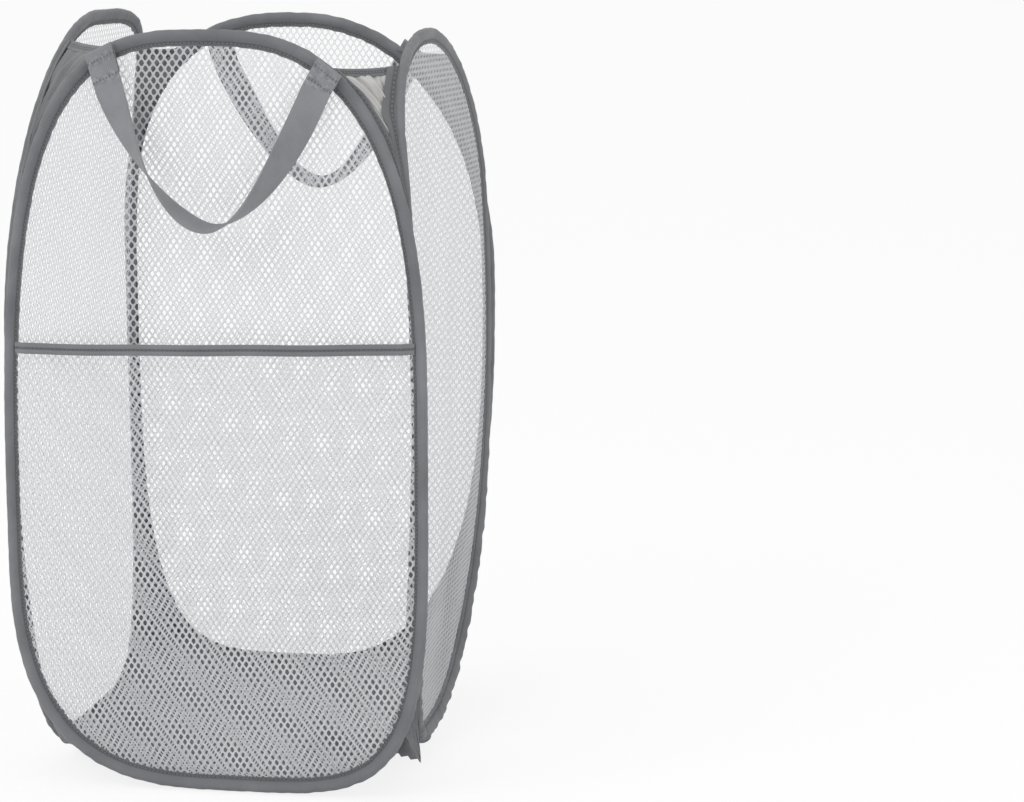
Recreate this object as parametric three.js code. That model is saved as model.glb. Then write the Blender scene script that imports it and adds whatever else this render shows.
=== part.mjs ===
// Pop up laundry hamper: four sprung wire hoops in sewn bindings, a net on each, a cloth floor,
// corner gussets, a pocket and two webbing handles. Millimetres, +Z up, front towards -Y,
// the origin on the ground under the middle of the floor.
import * as THREE from 'three';
import { mergeVertices } from 'three/addons/utils/BufferGeometryUtils.js';

// Driving sizes
const planWidth = 336;
const planDepth = 336;
const hoopRise = 610;
const sideInset = 13;
const sideBow = 18;
const sideStand = { left: 167.5, right: 164.5 };
const sideToe = 8;

// Wire, ferrule and binding
const wireRadius = 1;
const ferruleWall = 0.55;
const ferruleLength = 22;
const tubeRadius = 5;
const tubeWall = 0.9;

// Cloth, net and webbing
const netThickness = 0.9;
const netHold = 2.6;
const netMargin = 9;
const clothThickness = 0.8;
const strapWidth = 25;
const strapThickness = 1.6;
const padThickness = 2.2;
const padBelow = 12;

// Gaps between neighbours that touch on the real object
const clearance = 0.35;

// Net gaps: pitch and size of one diamond
const gapPitch = 56;
const gapPitchRise = 82;
const gapWidth = 37;
const gapRise = 56;

// Pocket on the front net
const pocketRise = 357;
const pocketTapeRise = 8;
const pocketTapeThickness = 2.4;
const pocketStandoff = 3;
const pocketBulge = 10;

// Top gussets and their hems
const hemDrop = 31;
const hemHeight = 5;
const hemThickness = 1.8;
const gussetStart = 17;

// Floor and its corners
const cornerRise = 38;
const cornerTipRise = 31;
const cornerTipInset = 4;
const cornerOutShares = { front_left: 0, front_right: 1, back_left: 0.3, back_right: 0.9 };
const cornerStart = 16;
const floorFlatShare = 0.8;
const floorRun = 12;
const floorSpreadShare = 3;
const floorLeastShare = 0.42;
const floorBendShare = 0.5;
const floorBendRiseShare = 0.4;
const cornerDrop = 1.4;

// Handles
const handleHalf = 82;
const handleCentre = 7;
const handleAxisDrop = 42;
const handleDrop = 106;
const handleCurve = 1.85;
const twistCurve = 1.7;
const handleLift = 3;
const padReach = { left: 38, right: 21 };

// Counts
const hoopSteps = 50;
const arcSteps = 400;
const tubeSides = { outer: 8, inner: 7 };
const wireSides = 5;
const ferruleSides = 8;
const handleSteps = 26;
const tapeSteps = 12;
const rowSteps = 4;
const gussetRows = 7;
const rimSteps = 8;
const netBands = 8;
const pocketBands = 3;
const halvings = 30;
const scanSteps = 60;
const settleRounds = 3;
const settleChecks = 5;

// Sizes that follow from the ones above: the bore that the wire runs in through the ferrule, the
// flat of the faceted tube that the ferrule rests near, and the slit that holds the net's edge
const ferruleBore = wireRadius + clearance;
const ferruleRadius = ferruleBore + ferruleWall;
const tubeBore = tubeRadius - tubeWall;
const tubeFlat = tubeBore * Math.cos(Math.PI / (tubeSides.inner - 1));
const wireOffset = tubeFlat - ferruleRadius - clearance;
const seamHalf = netThickness / 2 + clearance;
const netTuck = tubeRadius - netHold;

// Heights that follow the hoops: the gussets' hems and the lines that the handles swing about
const hemRise = hoopRise - hemDrop;
const handleAxisRise = hoopRise - handleAxisDrop;

// Each hoop's outline. Places along a panel are shares of half its width, heights are shares of
// hoopRise, and roundness is the power of the curve in each quarter: crown start, crown end,
// dip end, dip start.
const hoopShares = {
  front: {
    widest: [0.331, 0.5],
    crown: [0.006, 0.998],
    dip: [-0.012, 0.0107],
    roundness: [3.15, 2.7, 4.6, 2.8],
  },
  left: {
    widest: [0.614, 0.876],
    crown: [0.172, 1.0116],
    dip: [-0.125, 0.0228],
    roundness: [1.95, 4.4, 3.75, 4.56],
  },
  right: {
    widest: [0.859, 0.759],
    crown: [-0.124, 0.9923],
    dip: [-0.3, 0.0403],
    roundness: [2.22, 1.95, 2.5, 3.2],
  },
  back: {
    widest: [0.656, 0.609],
    crown: [-0.055, 1.0022],
    dip: [-0.038, 0.0196],
    roundness: [2.56, 2.2, 2.7, 4.3],
  },
};

// Looks
const looks = {
  binding: { color: 0x747678, roughness: 0.85, metalness: 0 },
  net: { color: 0xe6e9ec, roughness: 0.75, metalness: 0 },
  cloth: { color: 0x9b9ea1, roughness: 0.8, metalness: 0 },
  webbing: { color: 0x8d8f93, roughness: 0.85, metalness: 0 },
  wire: { color: 0x8a8d90, roughness: 0.35, metalness: 1 },
  ferrule: { color: 0xb5b8ba, roughness: 0.4, metalness: 1 },
};

const group = new THREE.Group();
group.name = 'pop_up_laundry_hamper';

// Panels: `along` is the way its width runs, `out` is the outside
const makePanel = (name, along, out, half, stand, bow, toe) => ({
  name,
  along: new THREE.Vector3(along[0], along[1], 0),
  out: new THREE.Vector3(out[0], out[1], 0),
  half,
  stand,
  bow,
  toe,
  ...hoopShares[name],
});
const sideHalf = planDepth / 2 - sideInset;
const panels = {
  front: makePanel('front', [1, 0], [0, -1], planWidth / 2, planDepth / 2, 0, 0),
  left: makePanel('left', [0, 1], [-1, 0], sideHalf, sideStand.left, sideBow, sideToe),
  right: makePanel('right', [0, 1], [1, 0], sideHalf, sideStand.right, sideBow, sideToe),
  back: makePanel('back', [1, 0], [0, 1], planWidth / 2, planDepth / 2, 0, 0),
};

// A place on a panel: s along it, z up, d outwards from the wire's surface
function place(panel, s, z, d) {
  const middle = hoopRise / 2;
  const t = (z - middle) / middle;
  const tilt = (2 * panel.bow * t) / middle;
  const normal = panel.out.clone().add(new THREE.Vector3(0, 0, tilt)).normalize();
  const point = panel.along.clone().multiplyScalar(s)
    .addScaledVector(panel.out, panel.stand - panel.bow * t * t)
    .add(new THREE.Vector3(0, 0, z))
    .addScaledVector(normal, d);
  return point.setX(point.x + (panel.toe * point.y) / planDepth);
}

// One quarter of a hoop's outline, from its widest place (angle 0) to its crown or dip
function quarter(panel, end, up) {
  const pole = up ? panel.crown : panel.dip;
  const order = up ? end : 3 - end;
  const s = pole[0] * panel.half;
  return {
    s,
    reach: (end ? panel.half : -panel.half) - s,
    zEnd: panel.widest[end] * hoopRise,
    zPole: pole[1] * hoopRise,
    power: panel.roundness[order],
  };
}

function quarterPoint(q, angle) {
  return [
    q.s + q.reach * Math.abs(Math.cos(angle)) ** (2 / q.power),
    q.zEnd + (q.zPole - q.zEnd) * Math.abs(Math.sin(angle)) ** (2 / q.power),
  ];
}

// Where the hoop's centre line stands at height z, on one side and in its upper or lower part
function hoopAcross(panel, end, up, z) {
  const q = quarter(panel, end, up);
  const v = (z - q.zEnd) / (q.zPole - q.zEnd);
  return q.s + q.reach * (1 - v ** q.power) ** (1 / q.power);
}

// Where one leg of the hoop stands at height z
function hoopLeg(panel, end, z) {
  return hoopAcross(panel, end, z > panel.widest[end] * hoopRise, z);
}

// Height of the hoop's lower part at a place along the panel
function hoopBelow(panel, s) {
  const q = quarter(panel, s > quarter(panel, 1, false).s ? 1 : 0, false);
  const u = Math.min(1, Math.abs((s - q.s) / q.reach));
  return q.zEnd + (q.zPole - q.zEnd) * (1 - u ** q.power) ** (1 / q.power);
}

// The hoop's centre line as [s, z] corners, closer together where it turns more
function hoopLine(panel) {
  const dense = [];
  [[1, false], [1, true], [0, true], [0, false]].forEach(([end, up]) => {
    const q = quarter(panel, end, up);
    const fromPole = (end === 1) !== up;
    for (let i = 0; i < arcSteps; i += 1) {
      const share = i / arcSteps;
      dense.push(quarterPoint(q, (fromPole ? 1 - share : share) * Math.PI / 2));
    }
  });
  const count = dense.length;
  const at = (i) => dense[(i + count) % count];
  const heading = (i) => Math.atan2(at(i + 1)[1] - at(i)[1], at(i + 1)[0] - at(i)[0]);
  const lengths = dense.map((p, i) => Math.hypot(at(i + 1)[0] - p[0], at(i + 1)[1] - p[1]));
  const total = lengths.reduce((a, b) => a + b, 0);
  const turns = dense.map((p, i) => {
    const turn = heading(i) - heading(i - 1);
    return Math.abs(Math.atan2(Math.sin(turn), Math.cos(turn)));
  });
  const weights = lengths.map((length, i) => length + (total * turns[i]) / (2 * Math.PI));
  const whole = weights.reduce((a, b) => a + b, 0);
  const line = [];
  let sum = 0;
  weights.forEach((weight, i) => {
    const isDue = sum + weight > (whole * line.length) / hoopSteps;
    if (isDue && line.length < hoopSteps) line.push(dense[i]);
    sum += weight;
  });
  return line;
}

// The corners of a closed line moved inwards by the same amount all round
function inset(line, amount) {
  return line.map((p, i) => {
    const before = line[(i + line.length - 1) % line.length];
    const after = line[(i + 1) % line.length];
    const a = new THREE.Vector2(p[0] - before[0], p[1] - before[1]).normalize();
    const b = new THREE.Vector2(after[0] - p[0], after[1] - p[1]).normalize();
    const mean = a.clone().add(b).normalize();
    const mitre = amount / mean.dot(a);
    return [p[0] - mean.y * mitre, p[1] + mean.x * mitre];
  });
}

Object.values(panels).forEach((panel) => {
  panel.line = hoopLine(panel);
  panel.centre = panel.line.map(([s, z]) => place(panel, s, z, 0));
});

// Joins rings of points into one closed body. caps is 'none' for rings that close on themselves,
// 'strip' for thin ends and 'hub' for round ones. The two sides of a thin body are cut into
// triangles alike, so that a twisted one keeps its thickness.
function skin(rings, caps) {
  const size = rings[0].length;
  const points = rings.flat();
  const faces = [];
  const spans = caps === 'none' ? rings.length : rings.length - 1;
  for (let i = 0; i < spans; i += 1) {
    const here = i * size;
    const next = ((i + 1) % rings.length) * size;
    for (let j = 0; j < size; j += 1) {
      const k = (j + 1) % size;
      const isFar = (caps === 'strip' && j >= size / 2) || (caps === 'hub' && i >= rings.length / 2);
      if (isFar) faces.push(here + j, here + k, next + j, here + k, next + k, next + j);
      else faces.push(here + j, here + k, next + k, here + j, next + k, next + j);
    }
  }
  const last = (rings.length - 1) * size;
  if (caps === 'strip') {
    for (let j = 0; j < size / 2 - 1; j += 1) {
      const k = size - 1 - j;
      faces.push(j, k, k - 1, j, k - 1, j + 1);
      faces.push(last + j, last + k - 1, last + k, last + j, last + j + 1, last + k - 1);
    }
  }
  if (caps === 'hub') {
    [[0, 1], [last, 0]].forEach(([start, flip]) => {
      const hub = new THREE.Vector3();
      for (let j = 0; j < size; j += 1) hub.addScaledVector(points[start + j], 1 / size);
      const h = points.push(hub) - 1;
      for (let j = 0; j < size; j += 1) {
        const k = (j + 1) % size;
        faces.push(h, start + (flip ? k : j), start + (flip ? j : k));
      }
    });
  }
  const geometry = new THREE.BufferGeometry();
  const values = points.flatMap((p) => p.toArray());
  geometry.setAttribute('position', new THREE.Float32BufferAttribute(values, 3));
  geometry.setIndex(faces);
  return geometry;
}

// Adds a sub-part, turned so that its faces look outwards
function addPart(name, geometry, look) {
  const index = geometry.index.array;
  const position = geometry.attributes.position;
  const corner = [0, 1, 2].map(() => new THREE.Vector3());
  let volume = 0;
  for (let i = 0; i < index.length; i += 3) {
    corner.forEach((c, k) => c.fromBufferAttribute(position, index[i + k]));
    volume += corner[0].dot(corner[1].clone().cross(corner[2]));
  }
  if (volume < 0) {
    for (let i = 0; i < index.length; i += 3) [index[i], index[i + 1]] = [index[i + 1], index[i]];
  }
  geometry.computeVertexNormals();
  const mesh = new THREE.Mesh(geometry, new THREE.MeshStandardMaterial(looks[look]));
  mesh.name = name;
  group.add(mesh);
}

// Sweeps a section of [inwards, outwards] offsets round a hoop
function sweepHoop(panel, section) {
  const offsets = section.map(([inwards]) => inset(panel.line, inwards));
  const rings = panel.line.map((p, i) => section.map((point, j) => {
    const [s, z] = offsets[j][i];
    return place(panel, s, z, point[1]);
  }));
  return skin(rings, 'none');
}

function addWire(panel) {
  const section = [];
  for (let i = 0; i < wireSides; i += 1) {
    const angle = (2 * Math.PI * i) / wireSides;
    section.push([wireRadius * Math.cos(angle) - wireOffset, wireRadius * Math.sin(angle)]);
  }
  addPart(`wire_${panel.name}`, sweepHoop(panel, section), 'wire');
}

function addFerrule(panel) {
  const [first, second] = inset(panel.line, -wireOffset);
  const length = Math.hypot(second[0] - first[0], second[1] - first[1]);
  const way = [(second[0] - first[0]) / length, (second[1] - first[1]) / length];
  const ring = (radius, along) => {
    const points = [];
    for (let i = 0; i < ferruleSides; i += 1) {
      const angle = (2 * Math.PI * i) / ferruleSides;
      const across = radius * Math.cos(angle);
      const s = first[0] + way[0] * along - way[1] * across;
      const z = first[1] + way[1] * along + way[0] * across;
      points.push(place(panel, s, z, radius * Math.sin(angle)));
    }
    return points;
  };
  const start = (length - ferruleLength) / 2;
  const end = start + ferruleLength;
  const rings = [
    ring(ferruleRadius, start),
    ring(ferruleRadius, end),
    ring(ferruleBore, end),
    ring(ferruleBore, start),
  ];
  addPart(`ferrule_${panel.name}`, skin(rings, 'none'), 'ferrule');
}

function addBinding(panel) {
  const section = [];
  const arc = (radius, sides, forwards) => {
    const lip = Math.asin(seamHalf / radius);
    for (let i = 0; i < sides; i += 1) {
      const share = forwards ? i / (sides - 1) : 1 - i / (sides - 1);
      const angle = lip + share * 2 * (Math.PI - lip);
      section.push([radius * Math.cos(angle), radius * Math.sin(angle)]);
    }
  };
  arc(tubeRadius, tubeSides.outer, true);
  arc(tubeBore, tubeSides.inner, false);
  addPart(`binding_${panel.name}`, sweepHoop(panel, section), 'binding');
}

// True where a place lies inside a closed line
function isInside(line, s, z) {
  let inside = false;
  line.forEach((a, i) => {
    const b = line[(i + 1) % line.length];
    const crosses = (a[1] > z) !== (b[1] > z);
    if (crosses && s < a[0] + ((z - a[1]) / (b[1] - a[1])) * (b[0] - a[0])) inside = !inside;
  });
  return inside;
}

// Cuts every face that crosses a level (axis 0 is s, 1 is z), so that the body can then be curved
function splitAt(geometry, axis, level) {
  const points = Array.from(geometry.attributes.position.array);
  const index = Array.from(geometry.index.array);
  const side = points.filter((value, i) => i % 3 === axis)
    .map((value) => (Math.abs(value - level) < clearance ? 0 : Math.sign(value - level)));
  const cuts = new Map();
  const cut = (a, b) => {
    const key = a < b ? `${a},${b}` : `${b},${a}`;
    if (!cuts.has(key)) {
      const share = (level - points[3 * a + axis]) / (points[3 * b + axis] - points[3 * a + axis]);
      cuts.set(key, points.length / 3);
      for (let k = 0; k < 3; k += 1) {
        points.push(points[3 * a + k] + (points[3 * b + k] - points[3 * a + k]) * share);
      }
    }
    return cuts.get(key);
  };
  const faces = [];
  for (let i = 0; i < index.length; i += 3) {
    const face = index.slice(i, i + 3);
    const ring = [];
    face.forEach((a, k) => {
      const b = face[(k + 1) % 3];
      ring.push(a);
      if (side[a] * side[b] < 0) ring.push(cut(a, b));
    });
    const start = Math.max(0, ring.findIndex((a) => a >= side.length));
    for (let k = 1; k < ring.length - 1; k += 1) {
      faces.push(ring[start], ring[(start + k) % ring.length], ring[(start + k + 1) % ring.length]);
    }
  }
  const split = new THREE.BufferGeometry();
  split.setAttribute('position', new THREE.Float32BufferAttribute(points, 3));
  split.setIndex(faces);
  return split;
}

// A net: the outline with staggered diamond gaps, cut at levels and laid on its panel by `lay`
function netGeometry(outline, levels, lay) {
  const shape = new THREE.Shape(outline.map(([s, z]) => new THREE.Vector2(s, z)));
  const inner = inset(outline, netMargin);
  const heights = inner.map((p) => p[1]);
  const [low, high] = [Math.min(...heights), Math.max(...heights)];
  const rows = Math.floor((high - low) / (gapPitchRise / 2));
  const columns = Math.ceil(planWidth / gapPitch);
  for (let row = 0; row <= rows; row += 1) {
    const z = (low + high) / 2 + (row - rows / 2) * (gapPitchRise / 2);
    for (let column = -columns; column <= columns; column += 1) {
      const s = (column + (row % 2) / 2) * gapPitch;
      const corners = [[0, -gapRise / 2], [gapWidth / 2, 0], [0, gapRise / 2], [-gapWidth / 2, 0]];
      const gap = corners.map(([a, b]) => [s + a, z + b]);
      if (gap.every(([a, b]) => isInside(inner, a, b))) {
        shape.holes.push(new THREE.Path(gap.map(([a, b]) => new THREE.Vector2(a, b))));
      }
    }
  }
  const geometry = new THREE.ExtrudeGeometry(shape, { depth: netThickness, bevelEnabled: false });
  geometry.deleteAttribute('normal');
  geometry.deleteAttribute('uv');
  let merged = mergeVertices(geometry);
  levels.forEach((values, axis) => {
    values.forEach((level) => { merged = splitAt(merged, axis, level); });
  });
  const position = merged.attributes.position;
  for (let i = 0; i < position.count; i += 1) {
    const p = lay(position.getX(i), position.getY(i), position.getZ(i) - netThickness / 2);
    position.setXYZ(i, p.x, p.y, p.z);
  }
  return merged;
}

function addNet(panel) {
  const outline = inset(panel.line, netTuck);
  const rises = panel.bow > 0 ? evenly(netBands).map((share) => share * hoopRise) : [];
  const lay = (s, z, d) => place(panel, s, z, d);
  addPart(`net_${panel.name}`, netGeometry(outline, [[], rises], lay), 'net');
}

// Shares between 0 and 1 that divide it into equal parts
function evenly(parts) {
  return Array.from({ length: parts - 1 }, (value, i) => (i + 1) / parts);
}

// How far the pocket stands off the front net, most at the middle of its mouth
function pocketDepth(s, z) {
  const across = Math.max(0, 1 - (s / panels.front.half) ** 2);
  return pocketStandoff + pocketBulge * across * Math.sin((Math.PI / 2) * Math.min(1, z / pocketRise));
}

function addPocket(panel) {
  const nearFace = pocketStandoff - netThickness / 2;
  const outline = inset(panel.line, Math.sqrt((tubeRadius + clearance) ** 2 - nearFace ** 2));
  const lower = [];
  outline.forEach((a, i) => {
    const b = outline[(i + 1) % outline.length];
    if (a[1] <= pocketRise) lower.push(a);
    if ((a[1] <= pocketRise) !== (b[1] <= pocketRise)) {
      const share = (pocketRise - a[1]) / (b[1] - a[1]);
      lower.push([a[0] + (b[0] - a[0]) * share, pocketRise]);
    }
  });
  const lay = (s, z, d) => place(panel, s, z, pocketDepth(s, z) + d);
  const levels = [
    evenly(pocketBands).map((share) => (2 * share - 1) * panel.half),
    evenly(pocketBands).map((share) => share * pocketRise),
  ];
  addPart('pocket_net', netGeometry(lower, levels, lay), 'net');

  const bottom = pocketRise + clearance;
  const top = bottom + pocketTapeRise;
  const half = pocketTapeThickness / 2;
  const reach = Math.sqrt((tubeRadius + clearance) ** 2 - (pocketStandoff - half) ** 2);
  const from = hoopLeg(panel, 0, top) + reach;
  const to = hoopLeg(panel, 1, bottom) - reach;
  const rings = [];
  for (let i = 0; i <= tapeSteps; i += 1) {
    const s = from + ((to - from) * i) / tapeSteps;
    const d = pocketDepth(s, pocketRise);
    rings.push([
      place(panel, s, bottom, d - half),
      place(panel, s, bottom, d + half),
      place(panel, s, top, d + half),
      place(panel, s, top, d - half),
    ]);
  }
  addPart('pocket_tape', skin(rings, 'strip'), 'binding');
}

// Distance from a point to a hoop's centre line
const segment = new THREE.Line3();
const nearest = new THREE.Vector3();
function distanceTo(panel, point) {
  let least = Infinity;
  panel.centre.forEach((start, i) => {
    segment.set(start, panel.centre[(i + 1) % panel.centre.length]);
    segment.closestPointToPoint(point, true, nearest);
    least = Math.min(least, nearest.distanceTo(point));
  });
  return least;
}

// The first place on the way from a hoop's centre line to a target that is clear of its binding
const clothAway = tubeRadius + clearance + clothThickness / 2;
function landing(panel, from, target) {
  let low = 0;
  let high = 1;
  for (let i = 0; i < halvings; i += 1) {
    const middle = (low + high) / 2;
    if (distanceTo(panel, from.clone().lerp(target, middle)) < clothAway) low = middle;
    else high = middle;
  }
  return from.clone().lerp(target, high);
}

// Moves an edge of landings off the binding where the straight runs between them would cut it
function settle(panel, edge, targets) {
  for (let round = 0; round < settleRounds; round += 1) {
    for (let i = 0; i < edge.length - 1; i += 1) {
      for (let k = 1; k < settleChecks; k += 1) {
        const point = edge[i].clone().lerp(edge[i + 1], k / settleChecks);
        const short = clothAway - distanceTo(panel, point);
        if (short > 0) {
          [i, i + 1].forEach((j) => {
            edge[j].addScaledVector(targets[j].clone().sub(edge[j]).normalize(), short);
          });
        }
      }
    }
  }
}

// The four corners: the two panels that meet there, and the end of each that does
const corners = [
  { name: 'front_left', a: panels.front, aEnd: 0, b: panels.left, bEnd: 0 },
  { name: 'front_right', a: panels.front, aEnd: 1, b: panels.right, bEnd: 0 },
  { name: 'back_left', a: panels.back, aEnd: 0, b: panels.left, bEnd: 1 },
  { name: 'back_right', a: panels.back, aEnd: 1, b: panels.right, bEnd: 1 },
];

const hoopPlace = (panel, end, z) => place(panel, hoopLeg(panel, end, z), z, 0);

// How far apart a corner's two hoops stand at height z
const parting = (corner, z) => hoopPlace(corner.a, corner.aEnd, z).distanceTo(hoopPlace(corner.b, corner.bEnd, z));

// The height, going down from the hem or up from the floor, where a corner's two hoops stand this
// far apart
function partingRise(corner, up, distance) {
  let far = up ? hemRise : cornerRise;
  const step = (hoopRise / 2 - far) / scanSteps;
  let near = far + step;
  while (parting(corner, near) > distance && (near - hoopRise / 2) * step < 0) near += step;
  for (let i = 0; i < halvings; i += 1) {
    const z = (near + far) / 2;
    if (parting(corner, z) < distance) near = z;
    else far = z;
  }
  return far;
}

// Turns rows of points into a thin sheet, thick along `normal`
function sheet(rows, normal) {
  const half = normal.clone().multiplyScalar(clothThickness / 2);
  return skin(rows.map((row) => [
    ...row.map((p) => p.clone().add(half)),
    ...row.map((p) => p.clone().sub(half)).reverse(),
  ]), 'strip');
}

function addGusset(corner) {
  const low = partingRise(corner, true, gussetStart);
  const high = hemRise - clearance;
  const aLine = [];
  const bLine = [];
  for (let i = 0; i <= gussetRows; i += 1) {
    const z = low + ((high - low) * i) / gussetRows;
    aLine.push(hoopPlace(corner.a, corner.aEnd, z));
    bLine.push(hoopPlace(corner.b, corner.bEnd, z));
  }
  const from = aLine.map((p, i) => landing(corner.a, p, bLine[i]));
  const to = bLine.map((p, i) => landing(corner.b, p, aLine[i]));
  settle(corner.a, from, bLine);
  settle(corner.b, to, aLine);
  const rows = from.map((p, i) => {
    const row = [];
    for (let j = 0; j <= rowSteps; j += 1) row.push(p.clone().lerp(to[i], j / rowSteps));
    return row;
  });
  const outward = corner.a.out.clone().add(corner.b.out).normalize();
  addPart(`gusset_${corner.name}`, sheet(rows, outward), 'cloth');

  const edge = (z) => {
    const a = hoopPlace(corner.a, corner.aEnd, z);
    const b = hoopPlace(corner.b, corner.bEnd, z);
    return [landing(corner.a, a, b), landing(corner.b, b, a)];
  };
  const half = outward.clone().multiplyScalar(hemThickness / 2);
  const [lower, upper] = [edge(hemRise), edge(hemRise + hemHeight)];
  const rings = [0, 1].map((k) => [
    lower[k].clone().add(half), upper[k].clone().add(half),
    upper[k].clone().sub(half), lower[k].clone().sub(half),
  ]);
  addPart(`hem_${corner.name}`, skin(rings, 'strip'), 'binding');
}

// The point where the floor cloth is folded between two hoops: out at the plan's corner, or
// pulled in towards the straight line between them
function cornerTip(corner) {
  const y = (planDepth / 2 - cornerTipInset) * corner.a.out.y;
  const x = (planWidth / 2 - cornerTipInset) * corner.b.out.x;
  const a = hoopPlace(corner.a, corner.aEnd, cornerRise);
  const b = hoopPlace(corner.b, corner.bEnd, cornerRise);
  const tucked = a.lerp(b, 1 / 2).setZ(cornerTipRise);
  return tucked.lerp(new THREE.Vector3(x, y, cornerTipRise), cornerOutShares[corner.name]);
}

// Rows of the corner cloth, from the hoops' parting down to the floor: from hoop a by the fold
// to hoop b
function cornerRows(corner) {
  const high = partingRise(corner, false, cornerStart);
  const tip = cornerTip(corner);
  const folds = [];
  const ends = { a: [], b: [] };
  for (let i = 0; i <= gussetRows; i += 1) {
    const share = i / gussetRows;
    const z = high + (cornerRise - high) * share;
    const a = hoopPlace(corner.a, corner.aEnd, z);
    const b = hoopPlace(corner.b, corner.bEnd, z);
    folds.push(a.clone().lerp(b, 1 / 2).lerp(tip, share));
    ends.a.push(landing(corner.a, a, folds[i]));
    ends.b.push(landing(corner.b, b, folds[i]));
  }
  settle(corner.a, ends.a, folds);
  settle(corner.b, ends.b, folds);
  return folds.map((fold, i) => {
    const [from, to] = [ends.a[i], ends.b[i]];
    return [from, from.clone().lerp(fold, 1 / 2), fold, to.clone().lerp(fold, 1 / 2), to];
  });
}

function addCorner(corner) {
  const outward = corner.a.out.clone().add(corner.b.out).normalize();
  addPart(`floor_corner_${corner.name}`, sheet(cornerRows(corner), outward), 'cloth');
}

// The floor's edge: along each hoop's lower part and round each corner's fold
function floorRim() {
  const rim = [];
  const side = (panel, forwards) => {
    const ends = [0, 1].map((end) => hoopLeg(panel, end, cornerRise));
    const [from, to] = forwards ? ends : [ends[1], ends[0]];
    const targets = [];
    const edge = [];
    for (let i = 0; i <= rimSteps; i += 1) {
      const s = from + ((to - from) * i) / rimSteps;
      const hoop = place(panel, s, hoopBelow(panel, s), 0);
      targets.push(new THREE.Vector3(hoop.x * floorFlatShare, hoop.y * floorFlatShare, clothThickness / 2));
      edge.push(landing(panel, hoop, targets[i]));
    }
    settle(panel, edge, targets);
    rim.push(...edge);
  };
  const turn = (corner, fromA) => {
    const row = cornerRows(corner).pop().slice(1, -1);
    (fromA ? row : row.reverse()).forEach((p) => rim.push(p.clone().setZ(p.z - cornerDrop)));
  };
  side(panels.front, true);
  turn(corners[1], true);
  side(panels.right, true);
  turn(corners[3], false);
  side(panels.back, false);
  turn(corners[2], true);
  side(panels.left, false);
  turn(corners[0], false);
  return rim;
}

function addFloor() {
  const rim = floorRim();
  const flatX = (planWidth / 2) * floorFlatShare;
  const flatY = (planDepth / 2) * floorFlatShare;
  const flat = rim.map((p) => {
    const run = floorRun + p.z * floorSpreadShare;
    const share = Math.max(floorLeastShare, 1 - run / Math.hypot(p.x, p.y));
    const y = THREE.MathUtils.clamp(p.y * share, -flatY, flatY);
    const x = THREE.MathUtils.clamp(p.x * share, -flatX, flatX);
    return new THREE.Vector3(x, y, clothThickness / 2);
  });
  const bend = rim.map((p, i) => {
    const point = flat[i].clone().lerp(p, floorBendShare);
    return point.setZ(flat[i].z + (p.z - flat[i].z) * floorBendRiseShare);
  });
  const lift = (ring, amount) => ring.map((p) => p.clone().setZ(p.z + amount));
  const half = clothThickness / 2;
  const rings = [
    lift(flat, -half), lift(bend, -half), lift(rim, -half),
    lift(rim, half), lift(bend, half), lift(flat, half),
  ];
  addPart('floor', skin(rings, 'hub'), 'cloth');
}

// How far out the handle's hinge line stands, in front of the pads on the binding
const padStandoff = tubeRadius + clearance;
const handleStandoff = padStandoff + padThickness + clearance + strapThickness / 2;

// A handle's centre line: from one side, share 0, by its lowest place to the other, share 1
function handlePoint(share) {
  const across = handleHalf * Math.sin(Math.PI * (share - 0.5));
  const drop = handleDrop * (1 - Math.abs(across / handleHalf) ** handleCurve);
  return { s: handleCentre + across, z: handleAxisRise - drop, across: Math.abs(across) };
}

// A handle's ribbon: flat on the panel at its ends and turned on edge at its lowest place, with
// the edge that faces the loop's inside coming outwards
function addHandle(panel) {
  const rings = [];
  for (let i = 0; i <= handleSteps; i += 1) {
    const here = handlePoint(i / handleSteps);
    const before = handlePoint(Math.max(0, i - 1) / handleSteps);
    const after = handlePoint(Math.min(handleSteps, i + 1) / handleSteps);
    const turn = (Math.PI / 2) * (1 - (here.across / handleHalf) ** twistCurve);
    const [flat, lifted] = [Math.cos(turn), Math.sin(turn)];
    const run = new THREE.Vector2(after.s - before.s, after.z - before.z).normalize();
    const wide = [-run.y * flat, run.x * flat, lifted].map((v) => (v * strapWidth) / 2);
    const thick = [-run.y * lifted, run.x * lifted, -flat].map((v) => (v * strapThickness) / 2);
    const centre = handleStandoff + (strapWidth / 2 + handleLift) * lifted;
    const corner = (u, v) => place(
      panel,
      here.s + u * wide[0] + v * thick[0],
      here.z + u * wide[1] + v * thick[1],
      centre + u * wide[2] + v * thick[2],
    );
    rings.push([corner(-1, -1), corner(1, -1), corner(1, 1), corner(-1, 1)]);
  }
  addPart(`handle_${panel.name}`, skin(rings, 'strip'), 'webbing');
}

// The doubled ends of a handle, sewn over the binding
function addPads(panel) {
  ['left', 'right'].forEach((side) => {
    const [end, inner] = side === 'left' ? [0, 1 / handleSteps] : [1, 1 - 1 / handleSteps];
    const a = handlePoint(end);
    const b = handlePoint(inner);
    const run = new THREE.Vector2(a.s - b.s, a.z - b.z).normalize();
    const outline = [[-1, -padBelow], [1, -padBelow], [1, padReach[side]], [-1, padReach[side]]];
    const ring = (d) => outline.map(([u, along]) => place(
      panel,
      a.s + run.x * along + u * run.y * strapWidth / 2,
      a.z + run.y * along - u * run.x * strapWidth / 2,
      d,
    ));
    const rings = [ring(padStandoff), ring(padStandoff + padThickness)];
    addPart(`handle_end_${panel.name}_${side}`, skin(rings, 'strip'), 'webbing');
  });
}

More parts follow.
